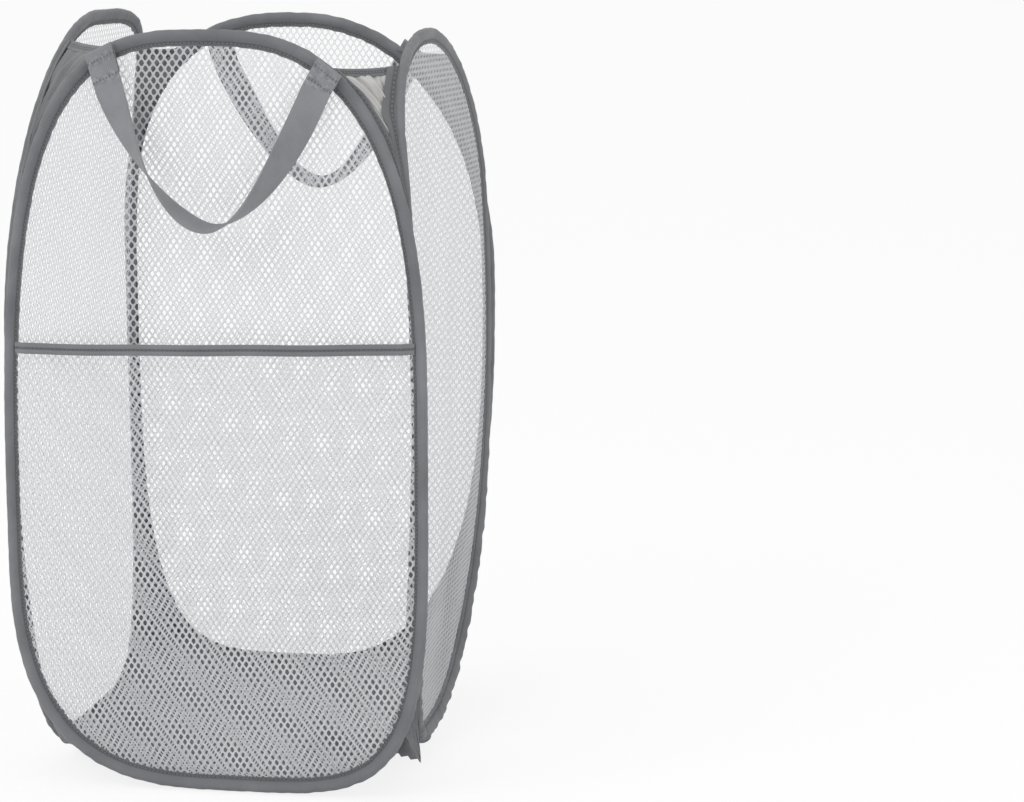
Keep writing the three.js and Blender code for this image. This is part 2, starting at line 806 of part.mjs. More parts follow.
Object.values(panels).forEach((panel) => {
  addWire(panel);
  addFerrule(panel);
  addBinding(panel);
  addNet(panel);
});
addPocket(panels.front);
addFloor();
corners.forEach((corner) => {
  addGusset(corner);
  addCorner(corner);
});
[panels.front, panels.back].forEach((panel) => {
  addHandle(panel);
  addPads(panel);
});

export default group;
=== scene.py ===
"""Looks of a pop up laundry hamper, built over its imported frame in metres, +Z up, front to -Y."""
import logging
import math
from collections.abc import Iterable, Iterator
from contextlib import contextmanager
from dataclasses import dataclass, field
from enum import Enum

import bpy
import numpy as np
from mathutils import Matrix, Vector


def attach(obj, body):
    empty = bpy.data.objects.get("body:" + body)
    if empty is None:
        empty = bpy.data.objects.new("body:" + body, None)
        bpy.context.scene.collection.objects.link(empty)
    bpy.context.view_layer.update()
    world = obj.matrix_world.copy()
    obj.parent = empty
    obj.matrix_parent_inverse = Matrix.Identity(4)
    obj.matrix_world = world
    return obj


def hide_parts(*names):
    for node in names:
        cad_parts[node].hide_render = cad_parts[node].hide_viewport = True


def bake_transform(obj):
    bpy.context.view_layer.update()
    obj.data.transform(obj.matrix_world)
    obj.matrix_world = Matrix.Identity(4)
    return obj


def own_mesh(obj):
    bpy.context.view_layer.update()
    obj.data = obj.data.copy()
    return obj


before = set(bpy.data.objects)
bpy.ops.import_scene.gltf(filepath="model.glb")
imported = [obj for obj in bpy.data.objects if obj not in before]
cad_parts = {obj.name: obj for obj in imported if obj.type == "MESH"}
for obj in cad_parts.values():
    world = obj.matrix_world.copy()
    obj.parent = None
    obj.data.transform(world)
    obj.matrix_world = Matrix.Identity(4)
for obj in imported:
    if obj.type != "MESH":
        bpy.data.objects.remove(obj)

log = logging.getLogger("hamper")
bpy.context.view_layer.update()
RISE = 0.610
PLAN = 0.336
MM = 0.001
TOUCHING = 1e-6
FULL_TURN = 6.283
TINY = 1e-9
Colour = tuple[float, float, float]
Piece = bpy.types.Object
Socket = bpy.types.NodeSocket


# Mesh helpers


def deselect() -> None:
    """Leave edit mode and select nothing."""
    if bpy.context.object is not None and bpy.context.object.mode != "OBJECT":
        bpy.ops.object.mode_set(mode="OBJECT")
    bpy.ops.object.select_all(action="DESELECT")


def choose(piece: Piece) -> None:
    """Select one piece alone and make it active.

    Args:
        piece: The piece to work on.
    """
    deselect()
    piece.select_set(True)
    bpy.context.view_layer.objects.active = piece


@contextmanager
def editing(piece: Piece) -> Iterator[None]:
    """Work on one piece in edit mode, with all of it selected.

    Args:
        piece: The piece to edit.

    Returns:
        Nothing, while the piece is in edit mode.
    """
    choose(piece)
    bpy.ops.object.mode_set(mode="EDIT")
    bpy.ops.mesh.select_all(action="SELECT")
    yield
    bpy.ops.object.mode_set(mode="OBJECT")


def points_of(piece: Piece) -> np.ndarray:
    """The piece's vertices as an array of rows of three.

    Args:
        piece: Any mesh piece.

    Returns:
        One row for each vertex.
    """
    values = np.empty(len(piece.data.vertices) * 3)
    piece.data.vertices.foreach_get("co", values)
    return values.reshape(-1, 3)


def move_points(piece: Piece, points: np.ndarray) -> None:
    """Put the piece's vertices at these places."""
    piece.data.vertices.foreach_set("co", np.ascontiguousarray(points, float).ravel())
    piece.data.update()


def finish_modifiers(piece: Piece) -> None:
    """Apply every modifier on the piece.

    Args:
        piece: The piece, left selected.
    """
    choose(piece)
    for modifier in list(piece.modifiers):
        bpy.ops.object.modifier_apply(modifier=modifier.name)


def thicken(piece: Piece, thickness: float, even: bool = True) -> None:
    """Give a sheet its thickness, half to each side.

    Args:
        piece: The sheet.
        thickness: In metres.
        even: Whether it is kept even at folds, which sharp folds can't take.
    """
    solid = piece.modifiers.new("thickness", "SOLIDIFY")
    solid.thickness = thickness
    solid.offset = 0.0
    solid.use_even_offset = even
    finish_modifiers(piece)


def smooth(piece: Piece, angle: float) -> None:
    """Shade the piece smooth, with edges sharper than the angle in degrees left crisp."""
    choose(piece)
    bpy.ops.object.shade_smooth_by_angle(angle=math.radians(angle))


def set_uv(piece: Piece, rows: np.ndarray) -> None:
    """Write a UV map in metres from one row of (u, v) for each vertex.

    Args:
        piece: The piece to map.
        rows: One row for each vertex.
    """
    mesh = piece.data
    layer = mesh.uv_layers.active or mesh.uv_layers.new(name="cloth")
    index = np.empty(len(mesh.loops), int)
    mesh.loops.foreach_get("vertex_index", index)
    layer.data.foreach_set("uv", np.ascontiguousarray(rows[index], float).ravel())


def unit_grid(name: str, across: int, along: int) -> Piece:
    """Add a flat grid from (0, 0) to (1, 1).

    Args:
        name: The piece's name.
        across: Faces along X.
        along: Faces along Y.

    Returns:
        The grid, at the origin.
    """
    deselect()
    bpy.ops.mesh.primitive_grid_add(x_subdivisions=across, y_subdivisions=along, size=1.0)
    piece = bpy.context.object
    piece.name = name
    piece.data.name = name
    move_points(piece, points_of(piece) + np.array([0.5, 0.5, 0.0]))
    return piece


def close_up(piece: Piece) -> None:
    """Join the vertices that lie on each other and turn all faces outwards.

    Args:
        piece: A piece whose ends meet.
    """
    with editing(piece):
        bpy.ops.mesh.remove_doubles(threshold=TOUCHING)
        bpy.ops.mesh.normals_make_consistent(inside=False)


def ripple(length: np.ndarray, seed: int, waves: Iterable[float]) -> np.ndarray:
    """A repeatable sum of sines along a length.

    Args:
        length: Places in metres.
        seed: Picks the phases.
        waves: Wavelengths in metres.

    Returns:
        Values of about -1 to 1.
    """
    rng = np.random.default_rng(seed)
    total = np.zeros_like(length)
    weight = 0.0
    for wave in waves:
        share = rng.uniform(0.6, 1.0)
        total += share * np.sin(2 * np.pi * length / wave + rng.uniform(0, FULL_TURN))
        weight += share
    return total / weight


def toward(start: np.ndarray, end: np.ndarray) -> np.ndarray:
    """Rows of unit length from each start towards its end."""
    way = end - start
    return way / np.maximum(np.linalg.norm(way, axis=1, keepdims=True), TOUCHING)


def area_of(piece: Piece) -> float:
    """The area of all the piece's faces."""
    return sum(face.area for face in piece.data.polygons)


def mix(a: np.ndarray, b: np.ndarray, share: np.ndarray | float) -> np.ndarray:
    """The place a share of the way from a to b."""
    return a + (b - a) * share


# The hoops

# The points that draw one quarter of an outline, and the share of the way out from the quarter's
# corner up to which a place is deep inside.
FINE = 900
DEEP = 0.3


@dataclass(frozen=True)
class Hoop:
    """One sprung hoop: its side of the hamper and the outline that it springs into.

    Places along a side are shares of half its width and heights are shares of RISE.
    """

    name: str
    along: tuple[float, float]
    out: tuple[float, float]
    half: float
    bow: float
    widest: tuple[float, float]
    crown: tuple[float, float]
    dip: tuple[float, float]
    roundness: tuple[float, float, float, float]
    stand: float = 0.168
    toe: float = 0.0

    def quarter(self, end: int, up: bool) -> tuple[float, float, float, float, float]:
        """One quarter of the outline.

        Args:
            end: 0 or 1, the end of the side.
            up: Whether it runs to the crown.

        Returns:
            The pole's place, the reach from it, the heights of the widest place and the pole,
            and the curve's power.
        """
        pole = self.crown if up else self.dip
        place = pole[0] * self.half
        reach = (self.half if end else -self.half) - place
        power = self.roundness[end if up else 3 - end]
        return place, reach, self.widest[end] * RISE, pole[1] * RISE, power

    def at(self, s: np.ndarray, z: np.ndarray, d: np.ndarray | float = 0.0) -> np.ndarray:
        """Places on the side: s along it, z up and d outwards from the wire's surface.

        Args:
            s: Places along the side.
            z: Heights.
            d: Distances outwards.

        Returns:
            Places, one row each.
        """
        s, z, d = np.broadcast_arrays(*(np.asarray(v, float) for v in (s, z, d)))
        middle = RISE / 2
        share = (z - middle) / middle
        tilt = 2 * self.bow * share / middle
        size = np.sqrt(1 + tilt**2)
        outward = self.stand - self.bow * share**2 + d / size
        x = self.along[0] * s + self.out[0] * outward
        y = self.along[1] * s + self.out[1] * outward
        return np.stack([x + self.toe * y / PLAN, y, z + d * tilt / size], axis=-1)

    def across(self, end: int, up: bool, z: np.ndarray) -> np.ndarray:
        """Where the hoop stands along its side at height z.

        Args:
            end: 0 or 1, the end of the side.
            up: Whether above the widest place.
            z: Heights.

        Returns:
            Places along the side.
        """
        place, reach, wide, pole, power = self.quarter(end, up)
        share = np.clip((np.asarray(z, float) - wide) / (pole - wide), 0, 1)
        return place + reach * (1 - share**power) ** (1 / power)

    def leg(self, end: int, z: np.ndarray) -> np.ndarray:
        """Where one leg of the hoop stands along its side at height z.

        Args:
            end: 0 or 1, the end of the side.
            z: Heights.

        Returns:
            Places along the side.
        """
        z = np.asarray(z, float)
        high = z > self.widest[end] * RISE
        return np.where(high, self.across(end, True, z), self.across(end, False, z))

    def below(self, s: np.ndarray) -> np.ndarray:
        """Height of the hoop's lower part at places along its side.

        Args:
            s: Places along the side.

        Returns:
            Heights.
        """
        s = np.asarray(s, float)
        result = np.zeros_like(s)
        for end in (0, 1):
            place, reach, wide, pole, power = self.quarter(end, False)
            share = np.clip((s - place) / reach, 0, 1)
            height = wide + (pole - wide) * (1 - share**power) ** (1 / power)
            result = np.where((s - place) / reach >= 0, height, result)
        return result

    def holds(self, s: np.ndarray, z: np.ndarray, inset: float) -> np.ndarray:
        """Whether places lie inside the outline, drawn in by the inset.

        Args:
            s: Places along the side.
            z: Heights.
            inset: How far the outline is drawn in.

        Returns:
            Whether each place lies inside.
        """
        poles = sorted((self.dip[0] * self.half, self.crown[0] * self.half))
        wides = sorted(share * RISE for share in self.widest)
        inside = (s >= poles[0]) & (s <= poles[1]) & (z >= wides[0]) & (z <= wides[1])
        for end in (0, 1):
            for up in (False, True):
                place, reach, wide, pole, power = self.quarter(end, up)
                near = (abs(reach) - inset) * np.sign(reach)
                far = (abs(pole - wide) - inset) * np.sign(pole - wide)
                u, v = (s - place) / near, (z - wide) / far
                here = (u >= 0) & (v >= 0)
                inside |= here & (np.abs(u) ** power + np.abs(v) ** power <= 1)
        return inside

    def within(self, s: np.ndarray, z: np.ndarray) -> np.ndarray:
        """About how far places lie inside the outline.

        Args:
            s: Places along the side.
            z: Heights.

        Returns:
            Distances, negative outside.
        """
        result = np.zeros(np.shape(s))
        for end in (0, 1):
            for up in (False, True):
                place, reach, wide, pole, power = self.quarter(end, up)
                u, v = (s - place) / reach, (z - wide) / (pole - wide)
                here = (u >= 0) & (v >= 0)
                share = (np.abs(u) ** power + np.abs(v) ** power) ** (1 / power)
                distance = (1 / np.maximum(share, 1e-3) - 1) * np.hypot(s - place, z - wide)
                middle = np.minimum(abs(reach), abs(pole - wide))
                result = np.where(here, np.where(share < DEEP, middle, distance), result)
        return result

    def line(self, count: int) -> np.ndarray:
        """The centre line as evenly spaced rows of (s, z), from the dip by end 1 and the crown.

        Args:
            count: How many rows.

        Returns:
            Rows of (s, z), the last one step before the first.
        """
        dense = []
        for end, up in ((1, False), (1, True), (0, True), (0, False)):
            place, reach, wide, pole, power = self.quarter(end, up)
            share = np.linspace(0, 1, FINE, endpoint=False)
            angle = (1 - share if (end == 1) != up else share) * np.pi / 2
            s = place + reach * np.abs(np.cos(angle)) ** (2 / power)
            z = wide + (pole - wide) * np.abs(np.sin(angle)) ** (2 / power)
            dense.append(np.stack([s, z], axis=1))
        rows = np.concatenate(dense)
        closed = np.vstack([rows, rows[:1]])
        length = np.concatenate([[0], np.cumsum(np.hypot(*np.diff(closed, axis=0).T))])
        wanted = np.linspace(0, length[-1], count, endpoint=False)
        return np.stack([np.interp(wanted, length, closed[:, k]) for k in (0, 1)], axis=1)


HOOPS = {
    hoop.name: hoop
    for hoop in (
        Hoop("front", (1, 0), (0, -1), half=0.168, bow=0.0, widest=(0.331, 0.5),
             crown=(0.006, 0.998), dip=(-0.012, 0.0107), roundness=(3.15, 2.7, 4.6, 2.8)),
        Hoop("left", (0, 1), (-1, 0), half=0.155, bow=0.018, widest=(0.614, 0.876),
             crown=(0.172, 1.0116), dip=(-0.125, 0.0228), roundness=(1.95, 4.4, 3.75, 4.56),
             stand=0.1675, toe=0.008),
        Hoop("right", (0, 1), (1, 0), half=0.155, bow=0.018, widest=(0.859, 0.759),
             crown=(-0.124, 0.9923), dip=(-0.3, 0.0403), roundness=(2.22, 1.95, 2.5, 3.2),
             stand=0.1645, toe=0.008),
        Hoop("back", (1, 0), (0, 1), half=0.168, bow=0.0, widest=(0.656, 0.609),
             crown=(-0.055, 1.0022), dip=(-0.038, 0.0196), roundness=(2.56, 2.2, 2.7, 4.3)),
    )
}


# Finishes


class Graph:
    """Builds one node material."""

    def __init__(self, name: str) -> None:
        """Start an empty material.

        Args:
            name: The material's name.
        """
        self.material = bpy.data.materials.new(name)
        self.material.use_nodes = True
        self.tree = self.material.node_tree
        self.tree.nodes.clear()

    def add(self, kind: str, inputs: dict | None = None, **settings: object) -> bpy.types.Node:
        """Add a node.

        Args:
            kind: The node's type without its ShaderNode prefix.
            inputs: Values or sockets, by the name or number of the input.
            settings: The node's own properties.

        Returns:
            The node.
        """
        node = self.tree.nodes.new("ShaderNode" + kind)
        for key, value in settings.items():
            setattr(node, key, value)
        for key, value in (inputs or {}).items():
            if isinstance(value, Socket):
                self.tree.links.new(value, node.inputs[key])
            else:
                node.inputs[key].default_value = value
        return node

    def math(self, operation: str, *values: object) -> Socket:
        """One sum on sockets or numbers."""
        return self.add("Math", dict(enumerate(values)), operation=operation).outputs[0]

    def weigh(self, *terms: tuple[object, float]) -> Socket:
        """The sum of values, each times its weight.

        Args:
            terms: Pairs of a value and its weight.

        Returns:
            Socket of the sum.
        """
        total, *rest = [self.math("MULTIPLY", value, weight) for value, weight in terms]
        for term in rest:
            total = self.math("ADD", total, term)
        return total

    def wave(self, value: object, pitch: float) -> Socket:
        """A sine that repeats once every pitch."""
        return self.math("SINE", self.math("MULTIPLY", value, 2 * math.pi / pitch))

    def off(self, value: object, line: float) -> Socket:
        """How far a value is from a line, on either side."""
        return self.math("ABSOLUTE", self.math("SUBTRACT", value, line))

    def ramp(self, value: object, low: float, high: float) -> Socket:
        """A value's share of the way from low to high, held between 0 and 1."""
        limits = {0: value, 1: low, 2: high}
        return self.add("MapRange", limits, interpolation_type="SMOOTHSTEP").outputs[0]

    def noise(self, where: Socket, scale: float, detail: float) -> Socket:
        """Noise of about 0 to 1, with `scale` features a metre."""
        return self.add("TexNoise", {"Vector": where, "Scale": scale, "Detail": detail}).outputs[0]

    def blend(self, share: object, low: object, high: object) -> Socket:
        """A colour between two sockets or colours, by a share.

        Args:
            share: 0 for the low colour, 1 for the high one.
            low: A socket or a colour.
            high: A socket or a colour.

        Returns:
            Socket of the colour.
        """
        values = {key: (*value, 1) if isinstance(value, tuple) else value
                  for key, value in ((0, share), (6, low), (7, high))}
        return self.add("Mix", values, data_type="RGBA").outputs[2]

    def coordinates(self) -> tuple[Socket, Socket, Socket, Socket]:
        """Places on the piece, places on its UV map, and the map's two measures apart.

        Returns:
            Sockets of the places, the map, and the map's u and v.
        """
        where = self.add("TexCoord").outputs
        parts = self.add("SeparateXYZ", {0: where["UV"]}).outputs
        return where["Object"], where["UV"], parts[0], parts[1]

    def finish(self, colour: object, height: object, **fixed: float) -> bpy.types.Material:
        """Close the material with one shader.

        Args:
            colour: Socket of the base colour.
            height: Socket of the relief in metres.
            fixed: Settings of the shader's own sockets, spaces written as underscores.

        Returns:
            The material.
        """
        bump = self.add("Bump", {"Height": height, "Distance": 1.0, "Strength": 1.0})
        inputs: dict = {"Base Color": colour, "Normal": bump.outputs[0]}
        inputs.update({key.replace("_", " "): value for key, value in fixed.items()})
        shader = self.add("BsdfPrincipled", inputs)
        self.add("OutputMaterial", {"Surface": shader.outputs[0]})
        return self.material


@dataclass(frozen=True)
class Surface:
    """What every finish has: its name and the two colours that it varies between."""

    name: str
    light: Colour
    dark: Colour


@dataclass(frozen=True)
class TapeFinish(Surface):
    """Fine woven binding tape, with lockstitch rows that follow the piece's UV map."""

    rows: tuple[float, ...] = ()
    pitch: float = 0.0009
    stitch: float = 0.0034
    # The span across the tape over which it is darkened towards its inner flange: painted shade.
    inside: tuple[float, float] = (-0.0018, 0.0035)
    hollow: tuple[float, float] = (0.0016, 0.0003)
    thread: tuple[float, float] = (0.00055, 0.00025)

    def material(self) -> bpy.types.Material:
        """Build the tape's material.

        Returns:
            The material.
        """
        g = Graph(self.name)
        where, uv, u, v = g.coordinates()
        weave = g.math("MULTIPLY", g.wave(u, self.pitch), g.wave(v, self.pitch))
        patches, creases = g.noise(where, 26, 4), g.noise(where, 150, 3)
        fibres = g.noise(uv, 1900, 2)
        shade = g.weigh((patches, 0.75), (fibres, 0.45), (weave, 0.07))
        colour = g.blend(g.ramp(shade, 0.25, 0.95), self.dark, self.light)
        # Painted shade: darker towards the inner flange on the net, so that the rounded outer side
        # reads as lit.
        colour = g.blend(g.math("MULTIPLY", g.ramp(v, *self.inside), 0.35), colour, self.dark)
        height = g.weigh((weave, 0.00003), (creases, 0.0008))
        dashes = g.ramp(g.wave(u, self.stitch), -0.75, -0.2)
        shadow = tuple(c * 0.35 for c in self.dark)
        for row in self.rows:
            off = g.off(v, row)
            seam = g.ramp(off, *self.hollow)
            thread = g.math("MULTIPLY", g.ramp(off, *self.thread), dashes)
            colour = g.blend(g.math("MULTIPLY", seam, 0.6), colour, shadow)
            colour = g.blend(g.math("MULTIPLY", thread, 0.55), colour, self.light)
            height = g.weigh((height, 1.0), (seam, -0.00035), (thread, 0.0004))
        return g.finish(colour, height, Roughness=0.82, Sheen_Weight=0.15, Specular_IOR_Level=0.3)


@dataclass(frozen=True)
class WebbingFinish(Surface):
    """Ribbed handle webbing: cords along its length, crossed by a fine weft, sewn down in rows."""

    # Dark colour of the stitch rows: partly the thread, partly painted shade in the sewn groove.
    thread: Colour = (0.085, 0.087, 0.093)
    rib: float = 0.0016
    weft: float = 0.0013
    half: float = 0.0125
    selvage: float = 0.0016
    rows: tuple[float, ...] = (-0.0235, -0.0085, 0.2855, 0.2960)
    stitch: float = 0.0028
    sewn: tuple[float, float] = (0.0005, 0.0011)
    drawn: tuple[float, float] = (0.0015, 0.0055)

    def near_rows(self, g: Graph, u: Socket, reach: tuple[float, float]) -> Socket:
        """How near the webbing is to a row of stitches: 1 on it, falling to 0 beside it.

        Args:
            g: The webbing's graph.
            u: Places along the webbing.
            reach: Where the fall starts and ends, from a row.

        Returns:
            Socket of the share.
        """
        near = 0.0
        for row in self.rows:
            near = g.math("MAXIMUM", near, g.math("SUBTRACT", 1.0, g.ramp(g.off(u, row), *reach)))
        return near

    def material(self) -> bpy.types.Material:
        """Build the webbing's material.

        Returns:
            The material.
        """
        g = Graph(self.name)
        where, uv, u, v = g.coordinates()
        ribs = g.wave(v, self.rib)
        weft = g.math("SINE", g.weigh((u, 2 * math.pi / self.weft), (ribs, 1.6)))
        weave = g.weigh((ribs, 0.5), (weft, 0.5))
        patches, fibres = g.noise(where, 34, 4), g.noise(uv, 2200, 2)
        dashes = g.ramp(g.wave(v, self.stitch), -0.5, 0.3)
        # The stitch rows' darkening is partly the thread and partly painted shade in their groove.
        stitches_and_groove_shade = g.math("MULTIPLY", self.near_rows(g, u, self.sewn), dashes)
        # Puckers beside the stitch rows: besides the bump, their noise lightens and darkens the
        # colour as painted light and shade on the lumps.
        puckers = g.math("SUBTRACT", g.noise(uv, 260, 2), 0.5)
        lumps = g.math("MULTIPLY", puckers, self.near_rows(g, u, self.drawn))
        shade = g.weigh((patches, 0.6), (fibres, 0.4), (weave, 0.14), (lumps, 2.0))
        colour = g.blend(g.ramp(shade, 0.2, 0.95), self.dark, self.light)
        edge = g.ramp(g.math("ABSOLUTE", v), self.half - self.selvage, self.half)
        colour = g.blend(g.math("MULTIPLY", edge, 0.35), colour, self.dark)
        colour = g.blend(g.math("MULTIPLY", stitches_and_groove_shade, 0.45), colour, self.thread)
        height = g.weigh((weave, 0.00009), (lumps, 0.0012), (stitches_and_groove_shade, -0.0005))
        return g.finish(colour, height, Roughness=0.8, Sheen_Weight=0.2, Specular_IOR_Level=0.3)


@dataclass(frozen=True)
class NetFinish(Surface):
    """White knitted polyester mesh, with the fine yarn's grain."""

    cover: float = 0.62

    def material(self) -> bpy.types.Material:
        """Build the mesh's material.

        Returns:
            The material.
        """
        g = Graph(self.name)
        where = g.add("TexCoord").outputs["Object"]
        patches, yarn = g.noise(where, 9, 3), g.noise(where, 900, 3)
        shade = g.ramp(g.weigh((patches, 0.7), (yarn, 0.5)), 0.3, 0.9)
        return g.finish(g.blend(shade, self.dark, self.light), g.weigh((yarn, 0.00025)),
                        Roughness=0.55, Sheen_Weight=0.1, Specular_IOR_Level=0.4, Alpha=self.cover)


@dataclass(frozen=True)
class ClothFinish(Surface):
    """Thin plain woven cloth with creases."""

    crease: float = 0.0015
    pitch: float = 0.0012

    def material(self) -> bpy.types.Material:
        """Build the cloth's material.

        Returns:
            The material.
        """
        g = Graph(self.name)
        where, _, u, v = g.coordinates()
        weave = g.math("MULTIPLY", g.wave(u, self.pitch), g.wave(v, self.pitch))
        patches, creases = g.noise(where, 12, 4), g.noise(where, 45, 5)
        # The crease noise also darkens the colour in the folds and lightens it on their ridges:
        # painted shade and light of the creases.
        shade = g.weigh((patches, 0.6), (creases, 0.5), (weave, 0.08))
        colour = g.blend(g.ramp(shade, 0.25, 0.9), self.dark, self.light)
        height = g.weigh((weave, 0.00003), (creases, self.crease))
        return g.finish(colour, height, Roughness=0.7, Sheen_Weight=0.1, Specular_IOR_Level=0.35)


@dataclass(frozen=True)
class MetalFinish(Surface):
    """Drawn or crimped bare metal."""

    rough: float

    def material(self) -> bpy.types.Material:
        """Build the metal's material.

        Returns:
            The material.
        """
        g = Graph(self.name)
        marks = g.noise(g.add("TexCoord").outputs["Object"], 700, 4)
        colour = g.blend(g.ramp(marks, 0.3, 0.75), self.dark, self.light)
        return g.finish(colour, g.weigh((marks, 0.00004)), Roughness=self.rough, Metallic=1.0)


class Finish(Enum):
    """The hamper's finishes."""

    BINDING = TapeFinish("binding tape", (0.215, 0.220, 0.232), (0.125, 0.128, 0.136), (0.0044,))
    HEM = TapeFinish("hem tape", (0.20, 0.205, 0.215), (0.11, 0.113, 0.12), (0.0025,))
    POCKET_TAPE = TapeFinish("pocket tape", (0.25, 0.255, 0.27), (0.14, 0.143, 0.152), (0.0042,))
    WEBBING = WebbingFinish("handle webbing", (0.30, 0.305, 0.32), (0.185, 0.188, 0.20))
    NET = NetFinish("knitted mesh", (0.73, 0.742, 0.762), (0.65, 0.665, 0.69))
    FLOOR = ClothFinish("floor cloth", (0.20, 0.205, 0.215), (0.12, 0.123, 0.13))
    # Painted light: the pale gusset finish below stands for light shining through the thin cloth at
    # the front right; the same cloth elsewhere is darker.
    GUSSET = ClothFinish("thin gusset cloth", (0.60, 0.595, 0.585), (0.42, 0.415, 0.405), 0.003)
    SHADED_GUSSET = ClothFinish(
        "shaded gusset cloth", (0.19, 0.192, 0.198), (0.12, 0.122, 0.128), 0.003)
    DEEP_GUSSET = ClothFinish("gusset cloth", (0.27, 0.272, 0.28), (0.18, 0.182, 0.19), 0.003)
    WIRE = MetalFinish("spring wire", (0.55, 0.56, 0.57), (0.38, 0.39, 0.40), 0.35)
    FERRULE = MetalFinish("crimped ferrule", (0.72, 0.73, 0.74), (0.55, 0.56, 0.57), 0.4)


MATERIALS: dict[Finish, bpy.types.Material] = {}


def finish_of(choice: Finish) -> bpy.types.Material:
    """The material of a finish, built once.

    Args:
        choice: One of the finishes.

    Returns:
        The material, the same one at each call.
    """
    if choice not in MATERIALS:
        MATERIALS[choice] = choice.value.material()
    return MATERIALS[choice]


def dress(piece: Piece, choice: Finish) -> None:
    """Give a piece its one material and log its faces and finish.

    Args:
        piece: The finished piece.
        choice: Its finish.
    """
    piece.data.materials.clear()
    piece.data.materials.append(finish_of(choice))
    log.info("%s: %d faces, %s", piece.name, len(piece.data.polygons), choice.name.lower())


# Bindings


@dataclass(frozen=True)
class Swell:
    """How a binding grows fuller towards the floor: from what height, and by what shares."""

    rise: float = 0.20
    outer: float = 0.20
    inner: float = 0.24
    depth: float = 0.2


SWELLS = {"right": Swell(0.30, 0.60, 0.40, 0.85)}


@dataclass
class Binding:
    """Folded tape sewn round a hoop's wire, with its stitched flange on the net."""

    hoop: Hoop
    seed: int
    swell: Swell = Swell()
    swell_run: float = 0.14
    crown_rise: float = 0.50
    crown_run: float = 0.08
    crown_share: float = 0.28
    rows: int = 720
    waves: tuple[float, ...] = (0.011, 0.017, 0.029, 0.053)
    plump: float = 0.13
    sway: float = 0.00035
    waver: float = 0.00045
    uneven: float = 0.07
    loose: float = 0.0004
    flange: tuple[float, float] = (0.0035, 0.0028)
    least_pucker: float = 0.35
    most_pucker: float = 1.3
    full_bend: float = 22
    bend_spread: int = 12
    section: tuple[tuple[float, float], ...] = (
        (-4.8, 0.0), (-4.5, 1.5), (-3.7, 2.7), (-2.5, 3.5), (-1.0, 3.8), (0.6, 3.4), (2.0, 2.6),
        (3.1, 1.7), (3.9, 1.05), (4.4, 0.85), (5.0, 1.1), (5.8, 1.05), (6.3, 0.5),
    )

    def pucker(self, ahead: np.ndarray, step: float) -> np.ndarray:
        """How much the tape is gathered, most where the hoop bends most.

        Args:
            ahead: The hoop's direction at each row.
            step: The distance between rows.

        Returns:
            A factor for each row.
        """
        turned = np.unwrap(np.arctan2(ahead[:, 1], ahead[:, 0]))
        bend = np.abs(np.gradient(turned, step))
        spread = self.bend_spread
        window = np.ones(2 * spread + 1) / (2 * spread + 1)
        bend = np.convolve(np.pad(bend, spread, mode="wrap"), window, "same")[spread:-spread]
        return self.least_pucker + np.clip(bend / self.full_bend, 0, self.most_pucker)

    def places(self, line: np.ndarray, step: float) -> np.ndarray:
        """The tape's skin as rows round the hoop, each with one place for each side of the section.

        Args:
            line: The hoop's centre line.
            step: The distance between its rows.

        Returns:
            An array of rows by sides by three.
        """
        ahead = np.roll(line, -1, axis=0) - np.roll(line, 1, axis=0)
        ahead /= np.linalg.norm(ahead, axis=1, keepdims=True)
        inward = np.stack([-ahead[:, 1], ahead[:, 0]], axis=1)
        length = np.arange(self.rows) * step
        whole = self.rows * step
        waves = [whole / round(whole / w) for w in self.waves]
        low = np.clip((self.swell.rise - line[:, 1]) / self.swell_run, 0, 1)
        high = np.clip((line[:, 1] - self.crown_rise) / self.crown_run, 0, 1)
        pucker = self.pucker(ahead, step) * (1 + self.swell.outer * low)
        plump = 1 + self.plump * pucker * ripple(length, self.seed, waves)
        sway = self.sway * pucker * ripple(length, self.seed + 1, waves[1:])
        hem = self.waver * pucker * ripple(length, self.seed + 2, waves[:2])
        outer = plump * (1 + self.swell.outer * low)
        inner = 1 + self.swell.inner * low + self.crown_share * high
        profile = self.profile()
        places = np.empty((self.rows, len(profile), 3))
        for k, (a, d) in enumerate(profile):
            flange = max(0.0, (a - self.flange[0]) / self.flange[1])
            side = 1 if k < len(self.section) else -1
            shifted = ripple(length + k * 0.004, self.seed + 5 + side, waves[1:])
            own = 1 + self.uneven * pucker * shifted
            reach = a * (outer if a < 0 else inner) + sway + hem * flange
            loose = self.loose * flange * pucker * ripple(length, self.seed + 9, waves[:1])
            lift = d * plump * (1 + self.swell.depth * low) * own + loose
            spot = line + inward * reach[:, None]
            places[:, k] = self.hoop.at(spot[:, 0], spot[:, 1], lift)
        return places

    def profile(self) -> np.ndarray:
        """The whole section, its front half and the same mirrored, in metres."""
        return np.array(list(self.section) + [(a, -d) for a, d in self.section[:0:-1]]) * MM

    def build(self) -> Piece:
        """Lay the tape round the hoop.

        Returns:
            The binding.
        """
        profile = self.profile()
        count = len(profile)
        piece = unit_grid(f"binding_tape_{self.hoop.name}", self.rows, count)
        flat = points_of(piece)
        row = np.round(flat[:, 0] * self.rows).astype(int)
        column = np.round(flat[:, 1] * count).astype(int)
        line = self.hoop.line(self.rows)
        step = np.hypot(*(np.roll(line, -1, axis=0) - line).T).mean()
        move_points(piece, self.places(line, step)[row % self.rows, column % count])
        set_uv(piece, np.stack([row * step, profile[column % count, 0]], axis=1))
        close_up(piece)
        smooth(piece, 180)
        dress(piece, Finish.BINDING)
        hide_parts(f"binding_{self.hoop.name}")
        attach(piece, self.hoop.name)
        return piece


# Nets


@dataclass(frozen=True)
class Lattice:
    """How one net's mesh is stretched and turned in its side."""

    pitch: float
    pitch_rise: float
    turn: float


LATTICES = {
    "front": Lattice(0.00615, 0.0089, 0.0),
    "left": Lattice(0.00600, 0.0088, 0.02),
    "right": Lattice(0.00600, 0.0088, -0.02),
    "back": Lattice(0.00580, 0.0089, -0.03),
    "pocket": Lattice(0.00545, 0.0089, 0.11),
}


